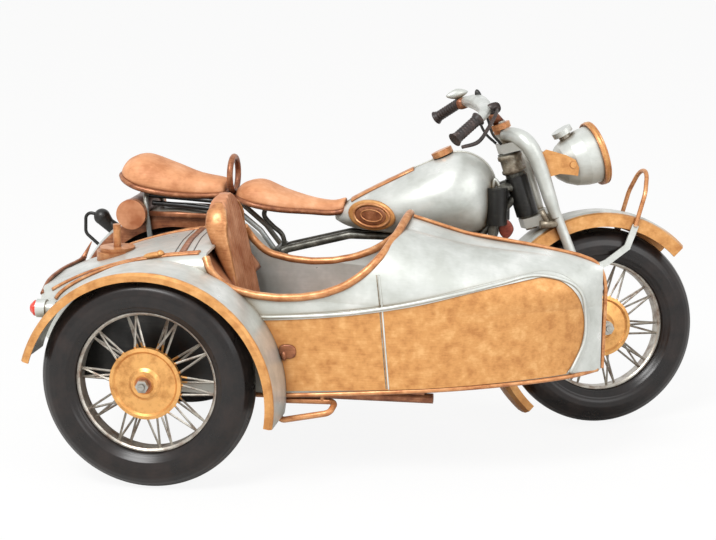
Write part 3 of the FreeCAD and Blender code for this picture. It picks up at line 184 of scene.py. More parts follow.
@dataclass(frozen=True)
class Surface:
    """A grid of points with what it takes to close it."""

    grid: Array
    rows_meet: bool = False
    columns_meet: bool = False
    capped: bool = False
    solid: bool = True

    def mesh(self) -> bpy.types.Mesh:
        """Makes a quad for each cell, a flat face for each cap, and turns a closed shape's faces outwards.

        Returns:
            The mesh, with its poles merged.
        """
        rows, columns = self.grid.shape[:2]
        row = np.arange(rows if self.rows_meet else rows - 1)[:, None]
        column = np.arange(columns if self.columns_meet else columns - 1)[None, :]
        here, below = row * columns, (row + 1) % rows * columns
        beside = (column + 1) % columns
        shade_and_patina_reaches = (here + column, here + beside, below + beside, below + column)
        faces = np.stack(shade_and_patina_reaches, axis=-1).reshape(-1, 4).tolist()
        smooth = np.ones(len(faces) + 2 * self.capped, bool)
        if self.capped:
            faces += [list(range(columns))[::-1], list(range((rows - 1) * columns, rows * columns))]
            smooth[-2:] = False
        mesh = bpy.data.meshes.new("surface")
        mesh.from_pydata(self.grid.reshape(-1, 3).tolist(), [], faces)
        mesh.polygons.foreach_set("use_smooth", smooth)
        shape = bmesh.new()
        shape.from_mesh(mesh)
        bmesh.ops.remove_doubles(shape, verts=shape.verts, dist=1e-7)
        if self.solid and shape.calc_volume(signed=True) < 0:
            bmesh.ops.reverse_faces(shape, faces=shape.faces)
        shape.to_mesh(mesh)
        shape.free()
        return mesh


def shaped(name: str, *surfaces: Surface) -> bpy.types.Object:
    """Joins surfaces into one object at the origin.

    Args:
        name: The object's name.
        surfaces: What it is made of.

    Returns:
        The object, linked to the scene.
    """
    whole = bmesh.new()
    for surface in surfaces:
        part = surface.mesh()
        whole.from_mesh(part)
        bpy.data.meshes.remove(part)
    mesh = bpy.data.meshes.new(name)
    whole.to_mesh(mesh)
    whole.free()
    made = bpy.data.objects.new(name, mesh)
    bpy.context.scene.collection.objects.link(made)
    return made


def oval(wide: float, high: float, sides: int = 12, power: float = 2.0) -> Array:
    """Works out the outline with |x / wide|^power + |y / high|^power = 1, its points evenly spaced.

    Args:
        wide: Half its width.
        high: Half its height.
        sides: How many points.
        power: 2 is an ellipse, more is squarer.

    Returns:
        An array of points round the outline.
    """
    angle = np.linspace(0, 2 * math.pi, 2001)  # fine enough to space the points by
    turns = ((wide, np.cos(angle)), (high, np.sin(angle)))
    outline = [half * np.sign(part) * np.abs(part) ** (2 / power) for half, part in turns]
    length = np.concatenate([[0.0], np.cumsum(np.hypot(*np.diff(outline, axis=1)))])
    places = np.linspace(0, length[-1], sides, endpoint=False)
    return np.stack([np.interp(places, length, part) for part in outline], axis=-1)


def carried(path: Array, profile: Array, up: Any, size: Array | float = 1.0, meets: bool = False) -> Surface:
    """Carries a closed profile along a path: each point is path + size * (across * side + out * up).

    Args:
        path: Points of the path.
        profile: Across and out for each point of the profile, in millimetres.
        up: The way out, for the whole path or for each of its points.
        size: Scale of the profile, for the whole path or for each of its points.
        meets: Whether the path's end joins its start.

    Returns:
        The surface, closed at its ends by flat caps unless the path meets itself.
    """
    along = np.roll(path, -1, 0) - np.roll(path, 1, 0) if meets else np.gradient(path, axis=0)
    side = unit(np.cross(along, np.broadcast_to(up, path.shape)))
    out = unit(np.cross(side, along))
    size = np.broadcast_to(size, len(path))[:, None, None] * MM
    spread = profile[None, :, :1] * side[:, None] + profile[None, :, 1:] * out[:, None]
    return Surface(path[:, None] + size * spread, meets, columns_meet=True, capped=not meets)


def wire(path: Array, radius_mm: Array | float, up: Any, sides: int = 12, meets: bool = False) -> Surface:
    """Carries a circle along a path, its radius fixed or not; up is any way that the path never takes."""
    return carried(path, oval(1, 1, sides), up, radius_mm, meets)


def domed(
    centre: Array, across: Array, up: Array, outline: Array, height: float, power: float = 2.0
) -> Surface:
    """Raises a low dome on an outline: at share r of the way out it is height * (1 - r^power)^(1/power) high.

    Args:
        centre: Middle of the foot.
        across: The way that the outline's first coordinate runs.
        up: The way that its second one runs.
        outline: Points of the outline, in millimetres.
        height: How far it stands out along across x up, in millimetres; less than nothing turns it over.
        power: 2 is round, more is flatter on top.

    Returns:
        The surface, with a flat foot.
    """
    share = np.sin(np.linspace(0, math.pi / 2, 9))
    rise = np.maximum(1 - share**power, 0) ** (1 / power)
    share, rise = np.append(share, 0.0), np.append(rise, 0.0)
    flat = outline[:, :1] * MM * across + outline[:, 1:] * MM * up
    out = unit(np.cross(across, up)) * height * MM
    return Surface(centre + share[:, None, None] * flat + rise[:, None, None] * out, columns_meet=True)


def turned_about(vectors: Array, axis: Array, degrees: float) -> Array:
    """Turns vectors about an axis: v cos a + (axis x v) sin a + axis (axis . v)(1 - cos a).

    Args:
        vectors: What is turned.
        axis: The axis's direction, of length one.
        degrees: The angle a.

    Returns:
        The turned vectors.
    """
    angle = math.radians(degrees)
    along = (vectors @ axis)[..., None] * axis
    across = np.cross(axis, vectors)
    return vectors * math.cos(angle) + across * math.sin(angle) + along * (1 - math.cos(angle))


def revolved(profile: Array, centre: Array, axis: Array, segments: int) -> Array:
    """Turns a profile about an axis: radius times the turning direction, plus its place on the axis.

    Args:
        profile: Radius and place along the axis for each point.
        centre: A point on the axis.
        axis: The axis's direction, of length one.
        segments: Steps round a full turn.

    Returns:
        A grid with a row for each step and a column for each profile point.
    """
    first = unit(np.cross(axis, (0.31, 0.17, 0.93)))  # any direction square to the axis will do
    second = np.cross(axis, first)
    angle = np.linspace(0, 2 * math.pi, segments, endpoint=False)[:, None, None]
    out = np.cos(angle) * first + np.sin(angle) * second
    return centre + profile[None, :, :1] * out + profile[None, :, 1:] * axis


class Skin:
    """The outside of some solids, for laying trim on."""

    def __init__(self, *solids: bpy.types.Object) -> None:
        """Reads the solids' faces."""
        seen = bpy.context.evaluated_depsgraph_get()
        self.trees = [BVHTree.FromObject(solid, seen) for solid in solids]

    def lay(self, points: Array, way: Any) -> tuple[Array, Array]:
        """Drops each point of a path on to the nearest solid below it.

        Args:
            points: Where the path starts from, in metres.
            way: The way that it drops.

        Returns:
            The places where it lands, and the way out of the surface there.
        """
        landed, down = [], Vector(way)
        for point in points:
            hits = [tree.ray_cast(Vector(point), down) for tree in self.trees]
            hits = [hit for hit in hits if hit[0] is not None]
            if hits:
                place, normal = min(hits, key=lambda hit: hit[3])[:2]
                landed.append((place, normal if normal.dot(down) < 0 else -normal))
        places, normals = np.array(landed).transpose(1, 0, 2)
        return places, normals


# ---------------------------------------------------------------- finishes


@dataclass(frozen=True)
class Finish:
    """What a surface is made of. No finish shares its name with one of the record's slots."""

    name: str

    def feed(self, tree: Tree, place: Socket) -> dict[str, Any]:
        """Adds the nodes that feed the shader.

        Args:
            tree: The node tree.
            place: The socket with Object coordinates.

        Returns:
            What goes into each of the shader's inputs.
        """
        raise NotImplementedError

    def build(self) -> bpy.types.Material:
        """Makes the material once, its patterns in real sizes on Object coordinates.

        Returns:
            The material.
        """
        made = bpy.data.materials.get(self.name)
        if made is None:
            made, tree = new_material(self.name)
            place = add_node(tree, "TexCoord").outputs["Object"]
            shader = add_node(tree, "BsdfPrincipled", self.feed(tree, place))
            add_node(tree, "OutputMaterial", {"Surface": shader.outputs[0]})
        return made


@dataclass(frozen=True)
class Edge:
    """Where one paint gives way to another: past a distance from a plane, by a slightly unsteady hand."""

    centre: Array | Point
    axis: Array | Point
    past_mm: float
    both_sides: bool = False
    soft_mm: float = 0.35
    wander_mm: float = 0.5

    def share(self, tree: Tree, place: Socket) -> Socket:
        """Adds the nodes that say how far a place is over the edge.

        Args:
            tree: The node tree.
            place: The socket with Object coordinates.

        Returns:
            A socket that runs from 0 to 1 across the edge.
        """
        offset = {0: place, 1: self.centre}
        inside = add_node(tree, "VectorMath", offset, {"operation": "SUBTRACT"}).outputs[0]
        reach = {0: inside, 1: self.axis}
        depth = add_node(tree, "VectorMath", reach, {"operation": "DOT_PRODUCT"}).outputs["Value"]
        if self.both_sides:
            depth = add_node(tree, "Math", {0: depth}, {"operation": "ABSOLUTE"}).outputs[0]
        hand = add_node(tree, "TexNoise", {"Vector": place, "Scale": 400.0}).outputs[0]
        wander = {0: hand, 1: self.wander_mm * MM, 2: depth}
        depth = add_node(tree, "Math", wander, {"operation": "MULTIPLY_ADD"}).outputs[0]
        middle = self.past_mm + self.wander_mm / 2
        ends = {"From Min": (middle - self.soft_mm) * MM, "From Max": (middle + self.soft_mm) * MM}
        return add_node(tree, "MapRange", {"Value": depth, **ends}).outputs[0]


@dataclass(frozen=True)
class PaintedSheet(Finish):
    """Metal painted by hand and rubbed back: soft blotches under brush strokes, with painted shade in brown in
    the hollows and on what faces down, and brown beside the trims that is partly patina and partly painted
    shade."""

    shade: str
    tone: str
    light: str
    # The patina's brown, which also colours the painted shade.
    patina_and_shade: str
    metallic: float = 0.4
    roughness: float = 0.34
    blotch_mm: float = 11.0
    stroke_mm: tuple[float, float] = (16.0, 0.9)
    stroke_share: float = 0.35
    # Brown beside the trims, by ambient occlusion over a short reach: partly the model's patina, partly
    # painted shade.
    trim_patina_and_shade_mm: float = 4.5
    trim_patina_and_shade_share: float = 1.425
    # Painted shade: brown in the hollows, by ambient occlusion over a long reach.
    hollow_shade_mm: float = 26.0
    hollow_shade_share: float = 0.855
    # Painted shade: brown on the faces that point down.
    underside_shade_share: float = 0.5
    dent: float = 0.1
    over: PaintedSheet | None = None
    edges: tuple[Edge, ...] = ()

    def colour(self, tree: Tree, place: Socket) -> tuple[Socket, Socket]:
        """Adds the nodes of the paint's own colour.

        Args:
            tree: The node tree.
            place: The socket with Object coordinates.

        Returns:
            The colour, and how light the mottling is there.
        """
        length, width = (1.0 / (size * MM) for size in self.stroke_mm)
        stroked = add_node(tree, "Mapping", {"Vector": place, "Scale": (length, width, width)}).outputs[0]
        lumps = {"Scale": 1.0 / (self.blotch_mm * MM), "Detail": 3.0, "Roughness": 0.6}
        blotches = add_node(tree, "TexNoise", {"Vector": place, **lumps}).outputs[0]
        lumps |= {"Scale": 1.0, "Detail": 4.0}
        strokes = add_node(tree, "TexNoise", {"Vector": stroked, **lumps}).outputs[0]
        mottle = add_node(tree, "Mix", {0: self.stroke_share, 2: blotches, 3: strokes}).outputs[0]
        colour = linear(self.shade)
        for code, low, high in ((self.tone, 0.36, 0.5), (self.light, 0.52, 0.68)):
            part = add_node(tree, "MapRange", {"Value": mottle, "From Min": low, "From Max": high}).outputs[0]
            colour = add_node(tree, "Mix", {0: part, 6: colour, 7: linear(code)}, RGBA).outputs[2]
        patina_and_shade_colour = linear(self.patina_and_shade)
        # Ambient occlusion darkens towards the brown: over the long reach as painted shade in the hollows,
        # over the short reach beside the trims as partly patina and partly painted shade.
        shade_and_patina_reaches = (self.hollow_shade_mm, 0.8, self.hollow_shade_share), (self.trim_patina_and_shade_mm, 0.95, self.trim_patina_and_shade_share)
        for reach_mm, open_at, share in shade_and_patina_reaches:
            reach = {"Distance": reach_mm * MM}
            seen = add_node(tree, "AmbientOcclusion", reach, {"samples": 8}).outputs["AO"]
            span = {"Value": seen, "From Min": 0.25, "From Max": open_at, "To Min": share, "To Max": 0.0}
            shut = add_node(tree, "MapRange", span).outputs[0]
            part = add_node(tree, "Math", {0: shut, 1: mottle}, {"operation": "MULTIPLY"}).outputs[0]
            colour = add_node(tree, "Mix", {0: part, 6: colour, 7: patina_and_shade_colour}, RGBA).outputs[2]
        # Painted shade: the faces that point down are darker brown.
        facing = add_node(tree, "NewGeometry").outputs["Normal"]
        up = add_node(tree, "SeparateXYZ", {"Vector": facing}).outputs["Z"]
        span = {"Value": up, "From Min": -0.9, "From Max": 0.0, "To Min": self.underside_shade_share, "To Max": 0.0}
        underside_shade = add_node(tree, "MapRange", span).outputs[0]
        return add_node(tree, "Mix", {0: underside_shade, 6: colour, 7: patina_and_shade_colour}, RGBA).outputs[2], mottle

    def feed(self, tree: Tree, place: Socket) -> dict[str, Any]:
        """Adds the paint's nodes, and past its edges those of the paint that lies over it.

        Args:
            tree: The node tree.
            place: The socket with Object coordinates.

        Returns:
            What goes into each of the shader's inputs.
        """
        colour, mottle = self.colour(tree, place)
        if self.over:
            painted, _ = self.over.colour(tree, place)
            for edge in self.edges:
                blend = {0: edge.share(tree, place), 6: colour, 7: painted}
                colour = add_node(tree, "Mix", blend, RGBA).outputs[2]
        sheen = {"To Min": self.roughness + 0.12, "To Max": self.roughness - 0.08}
        rough = add_node(tree, "MapRange", {"Value": mottle, "From Min": 0.3, "From Max": 0.7, **sheen})
        bump = add_node(tree, "Bump", {"Strength": self.dent, "Distance": 0.4 * MM, "Height": mottle})
        return {
            "Base Color": colour, "Metallic": self.metallic, "Roughness": rough.outputs[0],
            "Normal": bump.outputs[0],
        }


@dataclass(frozen=True)
class WheelFinish(Finish):
    """A finish whose zones or rings run round a wheel's axle."""

    centre: Array | Point
    axis: Array | Point

    def radius(self, tree: Tree, place: Socket) -> Socket:
        """Adds the nodes that measure the distance from the axle: the length of (place - centre) x axis.

        Args:
            tree: The node tree.
            place: The socket with Object coordinates.

        Returns:
            The socket with the distance in metres.
        """
        offset = {0: place, 1: self.centre}
        from_centre = add_node(tree, "VectorMath", offset, {"operation": "SUBTRACT"}).outputs[0]
        reach = {0: from_centre, 1: self.axis}
        crossed = add_node(tree, "VectorMath", reach, {"operation": "CROSS_PRODUCT"}).outputs[0]
        return add_node(tree, "VectorMath", {0: crossed}, {"operation": "LENGTH"}).outputs["Value"]


@dataclass(frozen=True)
class TyreRubber(WheelFinish):
    """Moulded rubber: nearly black with a soft gloss, browner where it is dusty, in fine moulded rings."""

    dark: str = "#120e0d"
    worn: str = "#2d221e"
    ring_mm: float = 2.6

    def feed(self, tree: Tree, place: Socket) -> dict[str, Any]:
        """Adds the nodes for the rings, sin(2 pi radius / ring), and for the dust.

        Args:
            tree: The node tree.
            place: The socket with Object coordinates.

        Returns:
            What goes into each of the shader's inputs.
        """
        turns = {0: self.radius(tree, place), 1: 2 * math.pi / (self.ring_mm * MM)}
        turned = add_node(tree, "Math", turns, {"operation": "MULTIPLY"}).outputs[0]
        rings = add_node(tree, "Math", {0: turned}, {"operation": "SINE"}).outputs[0]
        lumps = {"Vector": place, "Scale": 90.0, "Detail": 5.0, "Roughness": 0.65}
        dust = add_node(tree, "TexNoise", lumps).outputs[0]
        span = {"Value": dust, "From Min": 0.42, "From Max": 0.72, "To Max": 0.7}
        worn = add_node(tree, "MapRange", span).outputs[0]
        colour = add_node(tree, "Mix", {0: worn, 6: linear(self.dark), 7: linear(self.worn)}, RGBA).outputs[2]
        rough = add_node(tree, "MapRange", {"Value": dust, "To Min": 0.22, "To Max": 0.36}).outputs[0]
        bump = add_node(tree, "Bump", {"Strength": 0.25, "Distance": 0.12 * MM, "Height": rings}).outputs[0]
        return {"Base Color": colour, "Roughness": rough, "Specular IOR Level": 0.42, "Normal": bump}


@dataclass(frozen=True)
class WheelMetal(WheelFinish):
    """Plated rim and wire spokes, stained brown, round a gilt-painted brake disc and a copper nut."""

    disc_mm: float = 17.6
    nut_mm: float = 3.9
    steel: str = "#b9b4aa"
    stained: str = "#6b4a35"
    gold: str = "#e2aa67"
    gold_dark: str = "#b0763f"
    nut: str = "#b06e4a"

    def feed(self, tree: Tree, place: Socket) -> dict[str, Any]:
        """Adds the nodes for the stains, and for the zones out to disc_mm and nut_mm from the axle.

        Args:
            tree: The node tree.
            place: The socket with Object coordinates.

        Returns:
            What goes into each of the shader's inputs.
        """
        radius = self.radius(tree, place)
        lumps = {"Vector": place, "Scale": 160.0, "Detail": 4.0, "Roughness": 0.7}
        stains = add_node(tree, "TexNoise", lumps).outputs[0]
        span = {"Value": stains, "From Min": 0.45, "From Max": 0.68, "To Max": 0.8}
        spread = add_node(tree, "MapRange", span).outputs[0]
        colour, gold = (
            add_node(tree, "Mix", {0: spread, 6: linear(clean), 7: linear(stained)}, RGBA).outputs[2]
            for clean, stained in ((self.steel, self.stained), (self.gold, self.gold_dark))
        )
        for edge_mm, inside in ((self.disc_mm, gold), (self.nut_mm, linear(self.nut))):
            limit = {0: radius, 1: edge_mm * MM}
            within = add_node(tree, "Math", limit, {"operation": "LESS_THAN"}).outputs[0]
            colour = add_node(tree, "Mix", {0: within, 6: colour, 7: inside}, RGBA).outputs[2]
        rough = add_node(tree, "MapRange", {"Value": stains, "To Min": 0.22, "To Max": 0.5}).outputs[0]
        return {"Base Color": colour, "Metallic": 0.75, "Roughness": rough}


@dataclass(frozen=True)
class ClearLens(Finish):
    """Clear or tinted moulded lens with fine flutes."""

    tint: str
    flute_mm: float = 1.6
    roughness: float = 0.08
    clear: float = 0.5

    def feed(self, tree: Tree, place: Socket) -> dict[str, Any]:
        """Adds the nodes for the flutes.

        Args:
            tree: The node tree.
            place: The socket with Object coordinates.

        Returns:
            What goes into each of the shader's inputs: a tinted gloss over a partly clear body.
        """
        bands = {"Vector": place, "Scale": 0.314 / (self.flute_mm * MM), "Distortion": 0.4}
        flutes = add_node(tree, "TexWave", bands, {"bands_direction": "Y"}).outputs[1]
        bump = add_node(tree, "Bump", {"Strength": 0.35, "Distance": 0.2 * MM, "Height": flutes}).outputs[0]
        return {
            "Base Color": linear(self.tint), "Roughness": self.roughness, "Transmission Weight": self.clear,
            "IOR": 1.5, "Normal": bump,
        }


# Rolled sheet under silver paint: pale and softly shiny, olive beside the trims, partly patina and partly
# painted shade.
SILVER = PaintedSheet(
    "rubbed_silver_paint", "#bcbfb9", "#cbcec9", "#dfe1dd", "#7a6440", stroke_share=0.15, blotch_mm=14.0
)
# The same paint darker, as painted shade for the rear frame: grey and flat.
SHADOWED = replace(SILVER, name="shadowed_silver_paint", shade="#5f6362", tone="#858a89", light="#a9adab")
# Sheet under gilt paint laid on with a coarse brush: warm clouds with faint streaks along the panel.
GOLD = PaintedSheet(
    "brushed_gilt_paint", "#b67b42", "#cd9355", "#e0ab6e", "#94592c", blotch_mm=6.0, stroke_mm=(7.0, 0.7),
    stroke_share=0.25, roughness=0.42, metallic=0.3,
)
# Rod and strip under copper paint: bright in its mottling, with painted shade in brown in the hollows and
# underneath.
COPPER = PaintedSheet("rubbed_copper_paint", "#a5663c", "#ca8c5a", "#e6b07e", "#6b3a22", blotch_mm=5.0)
# The same paint, not rubbed: deeper and redder, with hardly any bright tops.
DARK_COPPER = PaintedSheet("dark_copper_paint", "#74422c", "#99603f", "#c08560", "#45261a", blotch_mm=5.0)
# Pressed sheet under leather-coloured paint: smooth and dull, the crown lighter than the edges and underside,
# which carry painted shade.
SADDLE = PaintedSheet(
    "saddle_paint", "#c28054", "#db9a6c", "#eeb286", "#7d4528", metallic=0.1, stroke_share=0.2,
    roughness=0.55, blotch_mm=12.0,
)
# The same paint in brown on ribbed sheet: the ribs catch a dull light, and the grooves stay dark.
SEAT = PaintedSheet(
    "seat_paint", "#a9653f", "#c2835c", "#d89b74", "#5c3323", metallic=0.1, stroke_share=0.1, roughness=0.5
)
# Cast and turned parts under bronze paint: brown-grey, with painted shade in the hollows leaving the edges
# paler.
BRONZE = PaintedSheet("bronze_paint", "#5d5040", "#8d8270", "#b9b2a2", "#3a2c20", blotch_mm=5.0)
# Tube and castings under thin grey paint: dark, with steel showing through where hands have rubbed it.
GUNMETAL = PaintedSheet("gunmetal_paint", "#35342f", "#63625a", "#a09e94", "#1b1712", blotch_mm=6.0)
# Cut plate under red-brown paint: dull, and darker at its edges.
RED_BROWN = PaintedSheet("red_brown_paint", "#6e2f22", "#8f4536", "#ab6350", "#43201a", blotch_mm=5.0)
# Enamelled tube and rod: nearly black, with brown where the paint is thin.
# The same black also paints the shade on the plate behind the sidecar wheel.
DARK = PaintedSheet(
    "black_enamel_and_painted_shade", "#0f0e0d", "#1b1a18", "#33302b", "#0b0a09", metallic=0.1, blotch_mm=7.0, hollow_shade_share=0.38
)
# Turned and threaded steel left bare: bright, with brown in the threads that is partly patina and partly
# painted shade.
STEEL = PaintedSheet("bare_steel", "#8a8780", "#b3b1aa", "#d6d5d0", "#55402f", metallic=0.8, roughness=0.3)
# Moulded rubber with a dry, ringed face: brown-black, and dusty on the rings.
GRIP = PaintedSheet(
    "moulded_grip", "#15100e", "#2b1f1b", "#54413a", "#120d0b", metallic=0.0, roughness=0.42, blotch_mm=4.0,
    hollow_shade_share=0.38,
)
# Pressed glass, whose flutes break up what shows behind it.
HEAD_GLASS = ClearLens("moulded_glass", "#e8ecec")
# Pressed red glass, thick enough to look nearly solid.
RED_LENS = ClearLens("red_glass", "#e2402c", clear=0.1, roughness=0.15)


# ---------------------------------------------------------------- sub-assemblies


@dataclass
class Assembly:
    """A part of the model: the frame it is dressed on, the body its pieces ride on, and what it has made."""

    frame: dict[str, Any]
    body: str = "vehicle"
    made: list[str] = field(default_factory=list)

    def joint(self, name: str) -> tuple[Array, Array]:
        """Finds a joint's place and the direction of its axis."""
        found = next(joint for joint in self.frame["joints"] if joint["name"] == name)
        return np.array(found["pos_m"], float), unit(np.array(found["axis"], float))

    def spot(self, points: Any) -> Array:
        """Turns mm ahead of the sidecar's axle, left of the motorcycle's middle and up into frame metres."""
        ahead, beside = self.joint("sidecar_wheel_spin")[0][0], self.joint("rear_wheel_spin")[0][1]
        return np.array([ahead, beside, 0.0]) + np.asarray(points, float) * MM

    def dress(self, finish: Finish, *nodes: str) -> None:
        """Gives solids a finish.

        Args:
            finish: What they are made of.
            nodes: The names of the solids.
        """
        for name in nodes:
            solid = self.frame["nodes"][name]
            solid.data.materials.clear()
            solid.data.materials.append(finish.build())

    def keep(
        self, name: str, slot: Slot, finish: Finish, surfaces: list[Surface], *stands_for: str
    ) -> bpy.types.Object:
        """Makes a piece, finishes it and hangs it on the assembly's body.

        Args:
            name: The piece's name.
            slot: The record's material slot; not used.
            finish: Its finish.
            surfaces: What it is made of.
            stands_for: Solids that it replaces.

        Returns:
            The piece.
        """
        piece = shaped(name, *surfaces)
        piece.data.materials.append(finish.build())
        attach(piece, self.body)
        if stands_for:
            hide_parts(*stands_for)
        self.made.append(name)
        return piece

    def bead(self, points: Any, radius_mm: float, count: int = 48) -> Surface:
        """Runs a round wire smoothly through places given in millimetres."""
        return wire(smooth_line(self.spot(points), count), radius_mm, (0.13, 0.21, 0.97))

    def strip(self, skin: Skin, points: Any, way: Any, wide: float, high: float, count: int = 60) -> Surface:
        """Lays a flat strip with rounded edges on solids, where its points land when they drop that way."""
        path, out = skin.lay(smooth_line(self.spot(points), count), way)
        return carried(path, oval(wide / 2, high, 10, power=3.0), out)


@dataclass
class Wheel(Assembly):
    """A spoked wheel with its tyre, turning on its own joint."""

    disc_mm: float = 17.6
    outer_mm: float = 51.0
    section_mm: float = 10.0
    seat_mm: float = 33.75
    # angle, width and height of the low ridges at the shoulders and over the beads
    ridges: Table = ((0.62, 0.05, 0.22), (1.95, 0.06, 0.3))
    ridge_mm: float = 0.3
    segments: int = 144
    across: int = 72

    def tyre_profile(self) -> Array:
        """Works out the tyre's section: a circle, with the ridges h exp(-((|a| - place) / width)^2) on it.

        Returns:
            Radius and place across for each point, in metres, starting and ending at the seat.
        """
        middle = self.outer_mm - self.section_mm
        mouth = math.acos((middle - self.seat_mm) / self.section_mm)
        angle = np.linspace(-math.pi + mouth, math.pi - mouth, self.across)
        ridge = sum(
            height * np.exp(-(((np.abs(angle) - place) / wide) ** 2)) for place, wide, height in self.ridges
        )
        reach = self.section_mm - self.ridge_mm + np.minimum(ridge, self.ridge_mm)
        profile = np.stack([middle + reach * np.cos(angle), reach * np.sin(angle)], axis=-1)
        seat = [(self.seat_mm, profile[-1, 1]), (self.seat_mm, profile[0, 1])]
        return np.vstack([profile, seat]) * MM

    def build(self) -> None:
        """Makes the tyre and dresses the wheel."""
        name = self.body.removesuffix("_wheel")
        centre, axis = self.joint(f"{self.body}_spin")
        grid = revolved(self.tyre_profile(), centre, axis, self.segments)
        tyre = Surface(grid, rows_meet=True, columns_meet=True)
        rubber = TyreRubber(f"rubber_{name}", centre, axis)
        self.keep(f"{name}_tyre_rubber", Slot.TYRE, rubber, [tyre], f"{name}_tyre")
        self.dress(WheelMetal(f"wheel_metal_{name}", centre, axis, disc_mm=self.disc_mm), self.body)


@dataclass
class Steering(Assembly):
    """The fork, headlamp, handlebar and front fender.

    Points on the fork go along the steering axis, ahead of it and to its left. Those on the bar go the same
    ways from its middle, and turn with its yaw and roll.
    """

    body: str = "steering"
    bar_place: Point = (40.7, -5.6, 0.0)
    bar_roll: float = 3.5
    bar_yaw: float = -9.5
    bar_line: Table = (
        (0.0, -7.6, -38.2), (0.0, -4.0, -31.0), (0.2, -0.6, -14.0), (0.2, -0.6, 14.0), (0.0, -4.0, 31.0),
        (0.0, -7.6, 38.2),
    )
    lever_line: Table = (
        (-0.6, 4.4, -20.0), (-1.6, 2.6, -29.0), (-6.0, -4.0, -38.0), (-10.0, -11.0, -43.5),
        (-9.6, -19.5, -46.5),
    )
    # the left one of two, on the fork
    shoulder_line: Table = (
        (23.6, 0.0, 2.0), (21.0, 4.6, 8.5), (14.6, 8.0, 13.6), (3.0, 9.6, 14.2), (-14.0, 9.9, 14.2),
        (-24.0, 10.2, 14.2),
    )
    # where each cable goes on, past the bar
    cable_line: Table = ((33.0, -7.4, 8.5), (26.0, -6.8, 6.6), (19.6, -3.6, 4.6))
    grip_mm: float = 2.75
    # place along the headlamp, radius, and wire radius of its lips
    lips: Table = ((1.2, 16.2, 0.6), (-1.3, 16.2, 0.5))
    fender_edge_mm: float = 9.9
    fender_tip_mm: float = 47.0
    hoop_edge_mm: float = 27.5

    def ways(self) -> Array:
        """Finds the directions along the steering axis, ahead of it and to its left."""
        axis, left = self.joint("steering")[1], self.joint("front_wheel_spin")[1]
        return np.array([axis, np.cross(left, axis), left])

    def fork(self, points: Any) -> Array:
        """Turns millimetres on the fork into the frame's metres."""
        return self.joint("steering")[0] + np.asarray(points, float) @ self.ways() * MM

    def bar(self, points: Any) -> Array:
        """Turns millimetres on the bar into the frame's metres: its yaw first, then its roll.

        Args:
            points: Places on the bar before it is clamped.

        Returns:
            The same places, as it is clamped.
        """
        ways = self.ways()
        turned = turned_about(np.asarray(points, float) @ ways * MM, ways[0], self.bar_yaw)
        return self.fork(self.bar_place) + turned_about(turned, ways[1], self.bar_roll)

    def bar_tube(self) -> Surface:
        """Makes the bar: a tube swollen about its middle, radius 2.4 + 1.9 exp(-((y - 5) / 17)^2)."""
        swell = 2.4 + 1.9 * np.exp(-(((np.linspace(-38, 38, 80) - 5) / 17) ** 2))
        return wire(smooth_line(self.bar(self.bar_line), 80), swell, (0.1, 0.0, 1.0), 24)

    def grips(self) -> list[Surface]:
        """Makes the grips: at share t of its length, a grip's radius is its own plus a flange at each end,
        0.9 exp(-(t / 0.08)^2) and 0.9 exp(-((1 - t) / 0.08)^2), and eleven fine rings, 0.08 cos(22 pi t).

        Returns:
            The right one and the left one.
        """
        t = np.linspace(0, 1, 90)
        flanges = 0.9 * (np.exp(-((t / 0.08) ** 2)) + np.exp(-(((1 - t) / 0.08) ** 2)))
        radius = self.grip_mm + flanges + 0.08 * np.cos(2 * math.pi * 11 * t)
        ends = [self.bar([(0.0, -7.2, side * 37.6), (-5.3, -21.8, side * 45.4)]) for side in SIDES]
        paths = [start + (end - start) * t[:, None] for start, end in ends]
        return [wire(path, radius, (0.0, 0.3, 1.0), 24) for path in paths]

    def build_bar(self) -> None:
        """Makes the handlebar with its stem, grips, levers, guard, knob and cables."""
        axis, ahead, left = self.ways()
        self.keep("handlebar_tube", Slot.SILVER, SILVER, [self.bar_tube()], "handlebar")
        stem = np.stack([*self.fork([(29.0, 0.2, 0.0), (35.0, -2.6, 0.0)]), self.bar((0.0, 0.0, 0.0))])
        self.keep("handlebar_stem", Slot.COPPER, DARK_COPPER, [wire(stem, 2.9, ahead, 20)])
        self.keep("grip_rubbers", Slot.GRIP, GRIP, self.grips(), "handlebar_grips")
        taper = 0.85 - 0.25 * np.linspace(0, 1, 40) ** 2
        line = smooth_line(self.bar(self.lever_line), 40)
        lever = carried(line, oval(1.0, 1.5, 14), (0.1, 0.2, 1.0), taper)
        place, outline = self.bar((0.2, 3.0, -21.5)), oval(3.6, 2.9, 24, power=2.6)
        perch = domed(place, ahead, axis, outline, -4.0, power=3.0)
        self.keep("brake_lever", Slot.GRIP, GRIP, [lever, perch], "hand_levers")
        along, up = unit(axis * 0.1 - ahead), unit(axis + ahead * 0.15)
        guard = domed(self.bar((4.8, -8.2, 37.0)), along, up, oval(6.2, 2.7, 28, power=1.5), -2.2)
        self.keep("clutch_lever", Slot.SILVER, SILVER, [guard])
        place, outline = self.bar((-0.4, -6.6, 33.0)), oval(3.6, 3.0, 24, power=3.0)
        clamp = domed(place, ahead, axis, outline, -3.4, power=3.0)
        self.keep("clutch_clamp", Slot.COPPER, DARK_COPPER, [clamp])
        knob = domed(self.bar((3.4, 0.5, 15.0)), ahead, left, oval(1.7, 1.7, 16), 3.6)
        self.keep("bar_knob", Slot.DARK, DARK, [knob])
        cables = []
        for side in SIDES:
            fall = self.fork(np.array(self.cable_line) * (1, 1, side))
            line = np.vstack([self.bar((-2.6, -1.0, side * 12.0)), fall])
            cables.append(wire(smooth_line(line, 40), 0.7, (0.3, 0.9, 0.1)))
        self.keep("bar_cables", Slot.DARK, DARK, cables, "control_cables")

